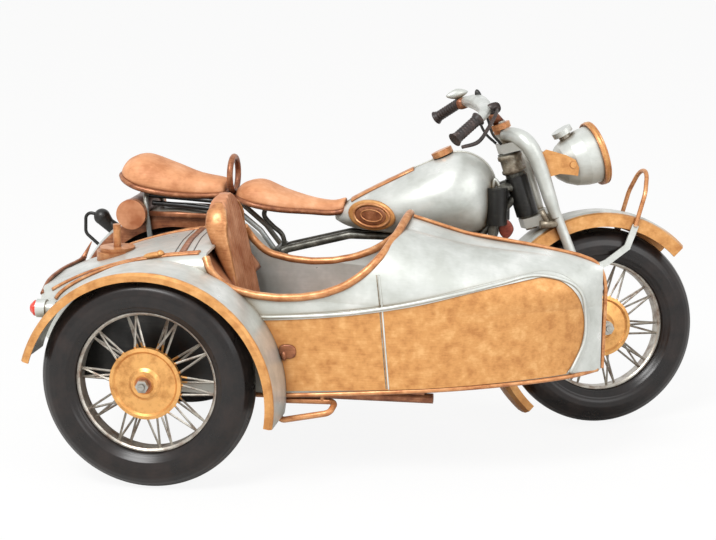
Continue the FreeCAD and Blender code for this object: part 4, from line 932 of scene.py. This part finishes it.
    def build_crown(self) -> None:
        """Makes the rounded shoulders from the stem to the fork legs and the links at the legs' feet."""
        swell = np.interp(np.linspace(0, 1, 80), (0, 0.28, 0.5, 0.8, 1), (3.6, 4.5, 4.1, 3.5, 2.7))
        lines = [self.fork(np.array(self.shoulder_line) * (1, 1, side)) for side in SIDES]
        shoulders = [wire(smooth_line(line, 80), swell, (0.1, 0.3, 1.0), 24) for line in lines]
        self.keep("fork_shoulders", Slot.SILVER, SILVER, shoulders)
        links = [
            wire(self.fork(line), radius, (0.1, 1.0, 0.2), 16)
            for radius, line in (
                (2.0, [(-24.5, 1.0, -14.0), (-26.0, 6.0, -14.2), (-27.5, 12.5, -14.4)]),
                (1.5, [(-18.0, 4.0, -14.0), (-22.0, 4.6, -14.2), (-26.0, 5.2, -14.4)]),
            )
        ]
        self.keep("fork_links", Slot.DARK, BRONZE, links)

    def build_headlamp_lips(self) -> None:
        """Rolls a lip round the front and the back of the headlamp's rim: middle + r (a cos t + b sin t)."""
        ahead = self.ways()[1]
        low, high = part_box("headlamp_rim")
        middle = (np.array(low) + np.array(high)) / 2
        first = unit(np.cross(ahead, UP))
        angle = np.linspace(0, 2 * math.pi, 72, endpoint=False)[:, None]
        circle = np.cos(angle) * first + np.sin(angle) * np.cross(ahead, first)
        lips = [
            wire(middle + (radius * circle + place * ahead) * MM, thick, ahead, meets=True)
            for place, radius, thick in self.lips
        ]
        self.keep("headlamp_lips", Slot.COPPER, COPPER, lips)

    def build(self) -> None:
        """Dresses what turns with the fork, and makes the bar, the shoulders and the headlamp's lips."""
        axle, left = self.joint("front_wheel_spin")
        edges = (
            Edge(axle, left, self.fender_edge_mm, both_sides=True),
            Edge(axle, self.ways()[1], self.fender_tip_mm, both_sides=True, soft_mm=3.0),
        )
        # Silver paint, with gilt brushed over the flanks and both tips.
        self.dress(replace(SILVER, name="front_fender_paint", over=GOLD, edges=edges), "front_fender")
        # Copper paint on the arch, running out into silver on its feet.
        level = Edge(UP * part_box("fender_hoop")[1].z, -UP, self.hoop_edge_mm, soft_mm=1.0)
        self.dress(replace(COPPER, name="hoop_paint", over=SILVER, edges=(level,)), "fender_hoop")
        self.dress(SILVER, "front_fork", "headlamp_bowl", "lamp_knob", "fender_straps")
        self.dress(GOLD, "lamp_brackets", "headlamp_rim")
        self.dress(COPPER, "fork_collar")
        self.dress(STEEL, "front_axle")
        self.dress(HEAD_GLASS, "headlamp_glass")
        self.build_bar()
        self.build_crown()
        self.build_headlamp_lips()


@dataclass
class Motorcycle(Assembly):
    """The frame, tank, saddles, engine and rear end."""

    lip_mm: float = 1.5
    fender_edge_mm: float = 11.3
    roll_cap_mm: float = 16.0
    # x, half width, underside and crown of each saddle
    rider: Table = (
        (9.6, 1.0, 114.6, 116.6), (11.0, 6.5, 114.2, 119.2), (15.5, 12.5, 113.6, 122.4),
        (24.0, 15.5, 111.8, 123.6), (36.0, 13.5, 109.8, 118.9), (50.0, 8.5, 108.4, 115.2),
        (61.0, 6.2, 107.6, 113.8), (67.6, 5.4, 108.8, 115.2), (68.6, 1.0, 110.8, 114.6),
    )
    pillion: Table = (
        (-51.6, 1.0, 124.6, 126.4), (-50.6, 7.5, 124.4, 129.6), (-46.5, 13.5, 122.2, 133.8),
        (-38.0, 17.0, 119.4, 135.8), (-24.0, 16.0, 116.9, 131.4), (-10.0, 11.5, 115.5, 126.6),
        (3.6, 7.6, 115.8, 124.2), (5.0, 1.0, 116.8, 122.0),
    )
    # x, half width, underside and top of the tank, and where up its side it is widest
    tank_rows: Table = (
        (62.6, 0.6, 104.6, 106.6), (64.0, 3.4, 103.0, 109.0), (72.0, 10.8, 100.0, 115.1),
        (88.0, 18.2, 98.0, 123.9), (108.0, 22.2, 97.0, 133.7), (126.0, 21.8, 97.5, 140.8),
        (138.0, 16.8, 99.5, 137.9), (145.0, 8.0, 105.0, 130.2), (146.6, 1.0, 115.0, 121.0),
    )
    tank_waist: float = 0.45
    # the seam along the tank's back and down its front
    seam_line: Table = (
        (64.2, 0.0, 108.2), (72.0, 0.0, 115.2), (88.0, 0.0, 124.0), (108.0, 0.0, 133.8), (126.0, 0.0, 140.9),
        (138.0, 0.0, 138.0), (144.9, 0.0, 130.2), (146.6, 0.0, 119.0), (145.2, 0.0, 106.0),
    )
    # the strip on its back, before it drops
    strip_line: Table = ((72.0, -3.0, 150.0), (84.0, -3.6, 150.0), (96.0, -3.8, 150.0), (104.5, -3.0, 150.0))
    # x and height of the knee pads' middles, how far out they are, and how much they turn outwards ahead
    knee: tuple[float, ...] = (84.6, 109.2, 14.6, 0.42)
    # radius, and place along the steering axis
    cup: Table = (
        (0.0, 3.0), (5.4, 3.0), (6.2, 3.8), (6.2, 5.0), (5.5, 5.6), (5.5, 10.4), (6.3, 11.0), (6.3, 12.6),
        (5.6, 13.4), (0.0, 13.4),
    )
    loop_line: Table = (
        (146.6, -6.0, 116.0), (145.8, -6.4, 123.0), (146.8, -6.6, 128.0), (148.9, -6.4, 124.0),
        (149.4, -6.0, 116.0),
    )
    spring_line: Table = (
        (27.1, 0.0, 110.6), (24.9, 0.0, 107.4), (24.8, 0.0, 103.6), (29.1, 0.0, 98.9), (33.4, 0.0, 95.3),
        (35.0, 0.0, 91.6), (34.9, 0.0, 87.3),
    )
    # the left one of two under the pillion saddle
    rack_bar: Table = ((-34.0, 14.2, 106.2), (-18.0, 14.2, 106.0), (-1.0, 14.2, 105.6))

    def build_saddle(self, name: str, rows: Table) -> None:
        """Makes a pressed saddle: an arched crown, y = half cos a and z = low + (high - low) sin(a)^0.62,
        over a hollow underside, z = low + 0.18 (high - low) sin(a)^2, with a lip rolled round its edge.

        Args:
            name: The saddle's name, which is that of the solid it replaces.
            rows: Places along it, half widths, undersides and crowns.
        """
        stations = smooth_line(rows, 72)
        x, half, low, high = (stations[:, k : k + 1] for k in range(4))
        angle = np.linspace(0, 2 * math.pi, 56, endpoint=False)[None, :]
        arch = np.where(angle < math.pi, np.abs(np.sin(angle)) ** 0.62, 0.0)
        hollow = np.where(angle > math.pi, np.sin(angle) ** 2, 0.0)
        height = low + (high - low) * (arch + 0.18 * hollow)
        grid = np.stack(np.broadcast_arrays(x, np.maximum(half, 0.6) * np.cos(angle), height), axis=-1)
        crown = Surface(self.spot(grid), columns_meet=True, capped=True)
        self.keep(f"{name}_crown", Slot.SADDLE, SADDLE, [crown], name)
        right, left = stations[:, :3] * (1.0, -1.0, 1.0), stations[-2:0:-1, :3]
        edge = self.spot(np.vstack([right, left]) + (0.0, 0.0, 0.4))
        self.keep(f"{name}_lip", Slot.COPPER, DARK_COPPER, [wire(edge, self.lip_mm, UP, meets=True)])

    def tank(self) -> Surface:
        """Makes the tank: two half ovals in each section that meet upright at its widest height, y = half
        cos a and z = waist + (high - waist) sin a above it, or waist + (waist - low) sin a below.

        Returns:
            The tank's shell.
        """
        rows = smooth_line(self.tank_rows, 90)
        x, half, low, high = (rows[:, k : k + 1] for k in range(4))
        angle = np.linspace(0, 2 * math.pi, 96, endpoint=False)[None, :]
        waist = low + (high - low) * self.tank_waist
        height = waist + np.where(angle < math.pi, high - waist, waist - low) * np.sin(angle)
        grid = np.stack(np.broadcast_arrays(x, np.maximum(half, 0.5) * np.cos(angle), height), axis=-1)
        return Surface(self.spot(grid), columns_meet=True, capped=True)

    def build_tank(self) -> None:
        """Makes the tank with its knee pads, its seam, the strip on its back and the rings in the pads."""
        shell = self.keep("tank_shell", Slot.SILVER, SILVER, [self.tank()], "fuel_tank", "knee_pads")
        x, z, out, turn = self.knee
        plates, hollows, rings = [], [], []
        for side in SIDES:
            across = unit(AHEAD + side * turn * LEFT)
            pads = (plates, (14.2, 7.9), 0.0, 2.2), (hollows, (10.2, 5.4), 0.6, 2.0)
            for made, size, depth, rise in pads:
                foot = self.spot((x, side * (out + depth), z))
                made.append(domed(foot, across, UP, oval(*size, 40), -side * rise, power=5.0))
            for size, depth, thick in (((10.6, 5.8), 2.3, 0.75), ((6.4, 3.0), 2.6, 0.45)):
                outline = oval(*size, 60) * MM
                path = self.spot((x, side * (out + depth), z)) + outline @ np.array([across, UP])
                rings.append(wire(path, thick, side * LEFT, meets=True))
        self.keep("knee_pad_plates", Slot.COPPER, GOLD, plates)
        self.keep("knee_pad_hollows", Slot.COPPER, DARK_COPPER, hollows)
        self.keep("tank_seam", Slot.SILVER, SILVER, [self.bead(self.seam_line, 0.6, 90)])
        strip = self.strip(Skin(shell), self.strip_line, -UP, 6.4, 0.9)
        self.keep("tank_strip", Slot.COPPER, COPPER, [strip])
        self.keep("knee_rings", Slot.COPPER, COPPER, rings)

    def build_head(self) -> None:
        """Makes the cup on top of the head tube, the loop beside it and the plate below the tank."""
        cup = Surface(revolved(np.array(self.cup) * MM, *self.joint("steering"), 36), rows_meet=True)
        self.keep("head_cup", Slot.BRIGHT, BRONZE, [cup])
        self.keep("head_loop", Slot.SILVER, SILVER, [self.bead(self.loop_line, 0.9)])
        place, outline = self.spot((152.7, -6.0, 102.4)), oval(4.0, 5.2, 24, power=1.55)
        plate = domed(place, np.array([0.96, 0.28, 0.0]), UP, outline, 1.2, power=4.0)
        self.keep("front_plate", Slot.COPPER, RED_BROWN, [plate])

    def build_rack(self) -> None:
        """Makes the rails and the flat bars under the pillion saddle, and the spring under the rider's."""
        rails = [
            self.bead([(x, side * y, z), (x / 2, side * y, z - 1.0), (end, side * y, z - 2.4)], radius)
            for side in SIDES
            for x, end, y, z, radius in ((-36.0, 3.0, 10.0, 115.4, 1.25), (-33.0, 0.0, 11.5, 111.6, 1.3))
        ]
        self.keep("rack_rails", Slot.DARK, DARK, rails)
        self.keep("saddle_spring", Slot.DARK, GUNMETAL, [self.bead(self.spring_line, 1.3)], "saddle_springs")
        lines = [self.spot(np.array(self.rack_bar) * (1, side, 1)) for side in SIDES]
        bars = [carried(line, oval(0.8, 1.5, 12, power=4.0), UP) for line in lines]
        self.keep("rack_bars", Slot.COPPER, DARK_COPPER, bars)

    def build(self) -> None:
        """Dresses the motorcycle, and makes the saddles, the tank and small fittings."""
        axle, left = self.joint("rear_wheel_spin")
        # Silver paint on the crown, with the flank bands in dark copper: painted shade for the gilt bands
        # under the pillion.
        edge = Edge(axle, left, self.fender_edge_mm, both_sides=True)
        self.dress(replace(SILVER, name="rear_fender_paint", over=DARK_COPPER, edges=(edge,)), "rear_fender")
        # Dark copper paint, with the seat's brown on the caps at both ends.
        middle = (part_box("luggage_roll")[0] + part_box("luggage_roll")[1]) / 2
        cap = Edge(tuple(middle), LEFT, self.roll_cap_mm, both_sides=True, soft_mm=0.2, wander_mm=0.1)
        self.dress(replace(DARK_COPPER, name="roll_paint", over=SEAT, edges=(cap,)), "luggage_roll")
        self.dress(SILVER, "exhaust_pipes", "engine_cylinders")
        self.dress(COPPER, "tank_cap")
        self.dress(GUNMETAL, "frame", "engine_case", "gearbox")
        self.dress(DARK_COPPER, "grab_handle", "rack_plate")
        self.dress(DARK, "frame_sleeves", "rear_lamp")
        self.dress(SHADOWED, "rear_frame")
        self.dress(STEEL, "rear_axle")
        self.build_saddle("rider_saddle", self.rider)
        self.build_saddle("pillion_saddle", self.pillion)
        self.build_tank()
        self.build_head()
        self.build_rack()


@dataclass
class Sidecar(Assembly):
    """The sidecar's body, its seat, fender, step and chassis."""

    middle: float = -78.0
    # how far out and how high trims start from before they drop on to the body
    beside: float = 60.0
    above: float = 140.0
    fender_edge_mm: float = 9.6
    rib_pitch: float = 3.1
    back_foot: tuple[float, float] = (34.6, 86.1)
    back_lean: float = 0.204
    # height, half width, thickness
    back_rows: Table = (
        (64.2, 18.6, 3.0), (80.0, 18.8, 3.2), (87.0, 19.0, 3.8), (100.0, 19.2, 7.0), (112.0, 18.6, 10.0),
        (120.0, 16.2, 9.6), (126.4, 10.4, 7.6), (129.4, 2.6, 4.4),
    )
    # Radius of the black plate that paints the shade behind the sidecar wheel.
    shade_plate_mm: float = 45.0
    # x and height down the joint of tub and nose, and along the upper and front edge of a gilt panel
    seam_line: Table = ((103.6, 100.5), (105.0, 90.0), (106.8, 68.0), (108.6, 46.4))
    panel_edge: Table = (
        (39.5, 78.2), (90.0, 82.6), (138.0, 91.8), (158.0, 96.0), (174.0, 99.0), (188.0, 96.0), (195.4, 90.0),
        (197.6, 80.0), (197.4, 66.0), (191.4, 51.6),
    )
    # x, half width, underside
    floor_rows: Table = (
        (36.0, 42.0, 41.2), (60.0, 42.0, 41.5), (106.0, 42.0, 45.0), (140.0, 37.0, 47.0), (172.0, 25.5, 48.5),
        (192.0, 14.5, 49.5), (203.5, 2.4, 50.0),
    )
    tail_line: Table = (
        (-59.6, -33.0, 84.0), (-60.2, -20.0, 88.0), (-60.3, 0.0, 89.0), (-60.2, 22.0, 88.2),
        (-59.4, 32.0, 88.6),
    )
    hook_line: Table = ((-60.5, 28.0, 86.0), (-59.0, 31.0, 90.0), (-56.0, 33.0, 96.5))

    def spot(self, points: Any) -> Array:
        """Turns millimetres into the frame's metres, with the second one left of the sidecar's middle."""
        return super().spot(np.asarray(points, float) + (0.0, self.middle, 0.0))

    def back_face(self, height: Array) -> Array:
        """Works out where the seat's leaning back has its front: foot - (z - foot height) * lean."""
        return self.back_foot[0] - (height - self.back_foot[1]) * self.back_lean

    def seat_back(self) -> Surface:
        """Makes the leaning back: a section |y / half|^5 + |x / thickness|^5 = 1 at each height, its front
        ribbed by |sin(pi y / pitch)|^0.7.

        Returns:
            The back without its bolsters.
        """
        rows = smooth_line(self.back_rows, 70)
        z, half, thick = (rows[:, k : k + 1] for k in range(3))
        side, depth = oval(1, 1, 300, power=5.0).T[:, None]
        ribs = np.abs(np.sin(math.pi * half * side / self.rib_pitch)) ** 0.7 * np.maximum(depth, 0.0) ** 0.5
        x = self.back_face(z) - thick / 2 - 1.0 + depth * thick / 2 + 0.7 * ribs
        grid = np.stack(np.broadcast_arrays(x, half * side, z), axis=-1)
        return Surface(self.spot(grid), columns_meet=True, capped=True)

    def seat_bolsters(self) -> list[Surface]:
        """Makes the rolls down the back's sides: ovals along its edges, widest near the top.

        Returns:
            The right one and the left one.
        """
        z, half, thick = smooth_line(self.back_rows[2:7], 50).T
        x = self.back_face(z) - thick / 2 - 0.6
        leaf = np.interp(np.linspace(0, 1, 50), (0, 0.3, 0.65, 0.86, 1), (0.22, 0.6, 1.0, 0.86, 0.35))
        made = []
        for side in SIDES:
            path = self.spot(np.stack([x, side * (half - 0.6), z], axis=-1))
            made.append(carried(path, oval(5.6, 2.0, 20), (0.0, side, 0.25), leaf))
        return made

    def seat_shell(self) -> Surface:
        """Makes the sloping board behind the seat: a thin rounded section carried across the body."""
        path = np.stack(np.broadcast_arrays(24.6, np.linspace(-35.0, 35.0, 30), 95.6), axis=-1)
        return carried(self.spot(path), oval(12.4, 0.7, 20, power=4.0), (0.785, 0.0, 0.62))

    def cushion(self) -> Surface:
        """Makes the cushion: a squared oval section carried back to front, scaled at share t of the way by
        (1 - |2t - 1|^5)^0.2, its top pulled into ribs |sin(pi y / pitch)|^0.7.

        Returns:
            The cushion, as wide and as high as the solid it replaces.
        """
        low, high = (np.array(corner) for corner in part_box("sidecar_seat_cushion"))
        t = np.linspace(0, 1, 50)
        path = (low + high) / 2 + (high - low) * (t[:, None] - 0.5) * AHEAD
        _, wide, tall = (high - low) / 2 / MM
        section = oval(wide, tall - 0.7, 260, power=4.0)
        ribs = 0.6 * np.abs(np.sin(math.pi * section[:, 0] / self.rib_pitch)) ** 0.7
        section[:, 1] += np.where(section[:, 1] > 0, ribs, 0.0)
        swell = (1 - np.abs(2 * t - 1) ** 5) ** 0.2 * 0.98 + 0.02
        return carried(path, section, UP, swell)

    def build_seat(self) -> None:
        """Makes the seat's back, its gilt bolsters, the board behind it and its cushion."""
        self.keep("seat_back_pad", Slot.SADDLE, SEAT, [self.seat_back()], "sidecar_seat_back")
        self.keep("seat_bolsters", Slot.GILT, COPPER, self.seat_bolsters())
        self.keep("seat_shell", Slot.SADDLE, SEAT, [self.seat_shell()])
        self.keep("seat_cushion_pad", Slot.SADDLE, SEAT, [self.cushion()], "sidecar_seat_cushion")

    def build_body_trim(self) -> None:
        """Makes the seam between tub and nose, the beads and floor trim, a black plate of painted shade behind
        the wheel, and the catch.
        """
        nodes = ("sidecar_tub", "sidecar_nose", "gold_panels", "panel_borders", "sidecar_fender")
        skin = Skin(*(self.frame["nodes"][name] for name in nodes))
        seams, beads = [], []
        for side in SIDES:
            away, way = side * self.beside, -side * LEFT
            seam, bead, edge = (
                [(x + step, away, z) for x, z in line]
                for line, step in ((self.seam_line, 0.0), (self.seam_line, 1.1), (self.panel_edge, 0.0))
            )
            seams.append(self.strip(skin, seam, way, 0.6, 0.12))
            beads += [self.strip(skin, bead, way, 0.8, 0.3), self.strip(skin, edge, way, 1.5, 0.8, 140)]
        self.keep("body_seams", Slot.DARK, BRONZE, seams)
        self.keep("body_seam_beads", Slot.SILVER, SILVER, beads)
        lines = [[(x, side * (half - 0.2), low + 0.3) for x, half, low in self.floor_rows] for side in SIDES]
        self.keep("floor_trim", Slot.COPPER, COPPER, [self.bead(line, 1.15, 90) for line in lines])
        # Painted shade: a thin black plate between the sidecar wheel and the body, standing in for the shade
        # in that gap.
        angle = np.linspace(-0.1, math.pi + 0.1, 60)
        shade_outline = np.stack([self.shade_plate_mm * np.cos(angle), self.shade_plate_mm * np.sin(angle) - 15.0], axis=-1)
        shade_sheet = domed(self.spot((0.0, -42.4, 66.0)), AHEAD, UP, shade_outline, 0.8, power=20.0)
        self.keep("painted_shade_plate", Slot.DARK, DARK, [shade_sheet])
        foot = skin.lay(self.spot([(62.0, -self.beside, 63.2)]), LEFT)[0][0]
        plate = domed(foot, AHEAD, UP, oval(4.2, 3.4, 24, power=2.6), 1.0, power=4.0)
        pin = domed(foot + np.array([-1.6, 0.0, -2.0]) * MM, AHEAD, UP, oval(1.5, 2.6, 16), 2.0)
        self.keep("side_catch", Slot.COPPER, DARK_COPPER, [plate, pin])

    def build_deck(self) -> None:
        """Makes the beads, strap, latch and tail edge of the deck behind the seat."""
        skin, above = Skin(self.frame["nodes"]["sidecar_tub"]), self.above
        lines = [[(x, y, above) for x in (-54.0, -30.0, -5.0, 19.0)] for y in (-36.5, -33.8, 36.0, 33.2)]
        beads = [self.strip(skin, line, -UP, 1.9, 0.9) for line in lines]
        self.keep("deck_beads", Slot.COPPER, COPPER, beads)
        lines = [[(x, 33.0, above), (x + 3.0, 0.0, above), (x + 7.5, -33.0, above)] for x in (-1.5, 7.6)]
        joints = [self.strip(skin, line, -UP, 0.7, 0.12) for line in lines]
        self.keep("deck_joint", Slot.DARK, DARK, joints)
        line = [(2.6, 34.0, above), (5.6, 0.0, above), (10.0, -34.0, above)]
        strap, tail = self.strip(skin, line, -UP, 3.6, 0.9), self.bead(self.tail_line, 1.0)
        line = smooth_line(self.spot(self.hook_line), 24)
        hook = carried(line, oval(2.0, 0.6), (0.0, 1.0, 0.2), np.linspace(1.0, 0.12, 24))
        self.keep("deck_strap", Slot.COPPER, DARK_COPPER, [strap, tail, hook])
        foot = skin.lay(self.spot([(-3.0, -35.4, above)]), -UP)[0][0]
        ahead = np.array([0.97, -0.04, 0.2])
        latch = domed(foot, ahead, LEFT, oval(5.6, 2.4, 24, power=2.4), 2.4, power=3.0)
        lump = domed(foot + np.array([3.2, -0.4, 1.2]) * MM, ahead, LEFT, oval(2.1, 2.1, 16), 2.4)
        self.keep("deck_latch", Slot.GILT, GOLD, [latch, lump])

    def build(self) -> None:
        """Dresses the sidecar, and makes the seat and the trims."""
        axle, left = self.joint("sidecar_wheel_spin")
        # Silver paint, with gilt over the outer flank.
        edge = Edge(axle, -left, self.fender_edge_mm)
        self.dress(replace(SILVER, name="sidecar_fender_paint", over=GOLD, edges=(edge,)), "sidecar_fender")
        self.dress(SILVER, "sidecar_tub", "sidecar_nose", "panel_borders", "sidecar_lamp_body")
        self.dress(GOLD, "gold_panels")
        self.dress(COPPER, "cockpit_rim", "nose_bead", "step_loop", "spare_wheel_carrier")
        self.dress(DARK_COPPER, "sidecar_seat_base", "sidecar_chassis")
        self.dress(STEEL, "sidecar_axle")
        self.dress(RED_LENS, "sidecar_lamp_lens")
        self.build_seat()
        self.build_body_trim()
        self.build_deck()


@dataclass
class Studio:
    """The floor, the lights and the camera."""

    target_mm: Point = (-11.554, 60.4, 75.436)
    azimuth: float = 9.737
    elevation: float = 12.129
    distance_mm: float = 953.881
    lens_mm: float = 90.503
    film_mm: float = 36.0
    floor_size: float = 12.0
    floor_white: float = 0.9
    world_strength: float = 0.55
    aim: Point = (0.0, 0.0, 0.07)
    # name, place, size and power of each lamp
    lamps: tuple[tuple[str, Point, float, float], ...] = (
        ("key", (-0.35, -1.0, 1.25), 0.6, 19.0),
        ("fill", (1.2, -0.9, 0.8), 0.9, 6.0),
    )

    def build(self) -> None:
        """Makes the floor, the world, the lamps and the camera."""
        self.make_floor()
        self.make_world()
        self.make_lamps()
        self.make_camera()

    def make_floor(self) -> None:
        """Lays a plain pale floor under the wheels, nearly white to the camera with the shadow kept."""
        half = self.floor_size / 2
        shade_and_patina_reaches = np.array([[(x, y, 0.0) for x in (-half, half)] for y in (-half, half)])
        floor = shaped("floor", Surface(shade_and_patina_reaches, solid=False))
        # Matt paper with no sheen, which glows for the camera alone: shadows show on it, and no horizon.
        material, tree = new_material("floor_white")
        matt = {"Base Color": linear("#f4f3f1"), "Roughness": 0.9}
        paper = add_node(tree, "BsdfPrincipled", matt).outputs[0]
        white = add_node(tree, "Emission", {"Color": linear("#ffffff"), "Strength": 1.0}).outputs[0]
        seen = add_node(tree, "LightPath").outputs["Is Camera Ray"]
        share = add_node(tree, "Math", {0: seen, 1: self.floor_white}, {"operation": "MULTIPLY"}).outputs[0]
        mixed = add_node(tree, "MixShader", {0: share, 1: paper, 2: white}).outputs[0]
        add_node(tree, "OutputMaterial", {"Surface": mixed})
        floor.data.materials.append(material)

    def make_world(self) -> None:
        """Fills the surroundings with soft white, seen as plain white by camera, gloss and glass."""
        world = bpy.data.worlds.new("studio")
        world.use_nodes = True
        tree = world.node_tree
        tree.nodes.clear()
        rays = add_node(tree, "LightPath").outputs
        seen = rays["Is Camera Ray"]
        for name in ("Is Glossy Ray", "Is Transmission Ray"):
            seen = add_node(tree, "Math", {0: seen, 1: rays[name]}, {"operation": "MAXIMUM"}).outputs[0]
        strength = add_node(tree, "Mix", {0: seen, 2: self.world_strength, 3: 1.0}).outputs[0]
        sky = add_node(tree, "Background", {"Color": linear("#ffffff"), "Strength": strength}).outputs[0]
        add_node(tree, "OutputWorld", {"Surface": sky})
        bpy.context.scene.world = world

    def make_lamps(self) -> None:
        """Hangs a key light in front and above, and a softer fill."""
        for name, place, size, power in self.lamps:
            light = bpy.data.lights.new(name, "AREA")
            light.size = size
            light.energy = power
            lamp = bpy.data.objects.new(name, light)
            lamp.location = place
            lamp.rotation_euler = (Vector(self.aim) - Vector(place)).to_track_quat("-Z", "Y").to_euler()
            bpy.context.scene.collection.objects.link(lamp)

    def make_camera(self) -> None:
        """Places the camera on its line of sight and turns it to its target."""
        azimuth, elevation = math.radians(self.azimuth), math.radians(self.elevation)
        level = math.cos(elevation)
        back = Vector((math.sin(azimuth) * level, -math.cos(azimuth) * level, math.sin(elevation)))
        data = bpy.data.cameras.new("camera")
        data.lens = self.lens_mm
        data.sensor_width = self.film_mm
        data.clip_start = 0.05
        data.clip_end = 50.0
        camera = bpy.data.objects.new("camera", data)
        camera.location = (Vector(self.target_mm) + back * self.distance_mm) * MM
        camera.rotation_euler = (-back).to_track_quat("-Z", "Y").to_euler()
        bpy.context.scene.collection.objects.link(camera)
        bpy.context.scene.camera = camera


def main() -> None:
    """Loads the frame, builds each assembly in order and reports its pieces."""
    logging.basicConfig(level=logging.INFO, format="%(message)s")
    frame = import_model()
    bpy.context.scene.view_settings.view_transform = "Standard"
    assemblies: list[Assembly] = [
        Wheel(frame, "front_wheel", disc_mm=16.4), Wheel(frame, "rear_wheel"), Wheel(frame, "sidecar_wheel"),
        Steering(frame), Motorcycle(frame), Sidecar(frame),
    ]
    for assembly in assemblies:
        assembly.build()
        for name in assembly.made:
            LOG.info("%s: %s", type(assembly).__name__, name)
    Studio().build()


if __name__ == "__main__":
    main()
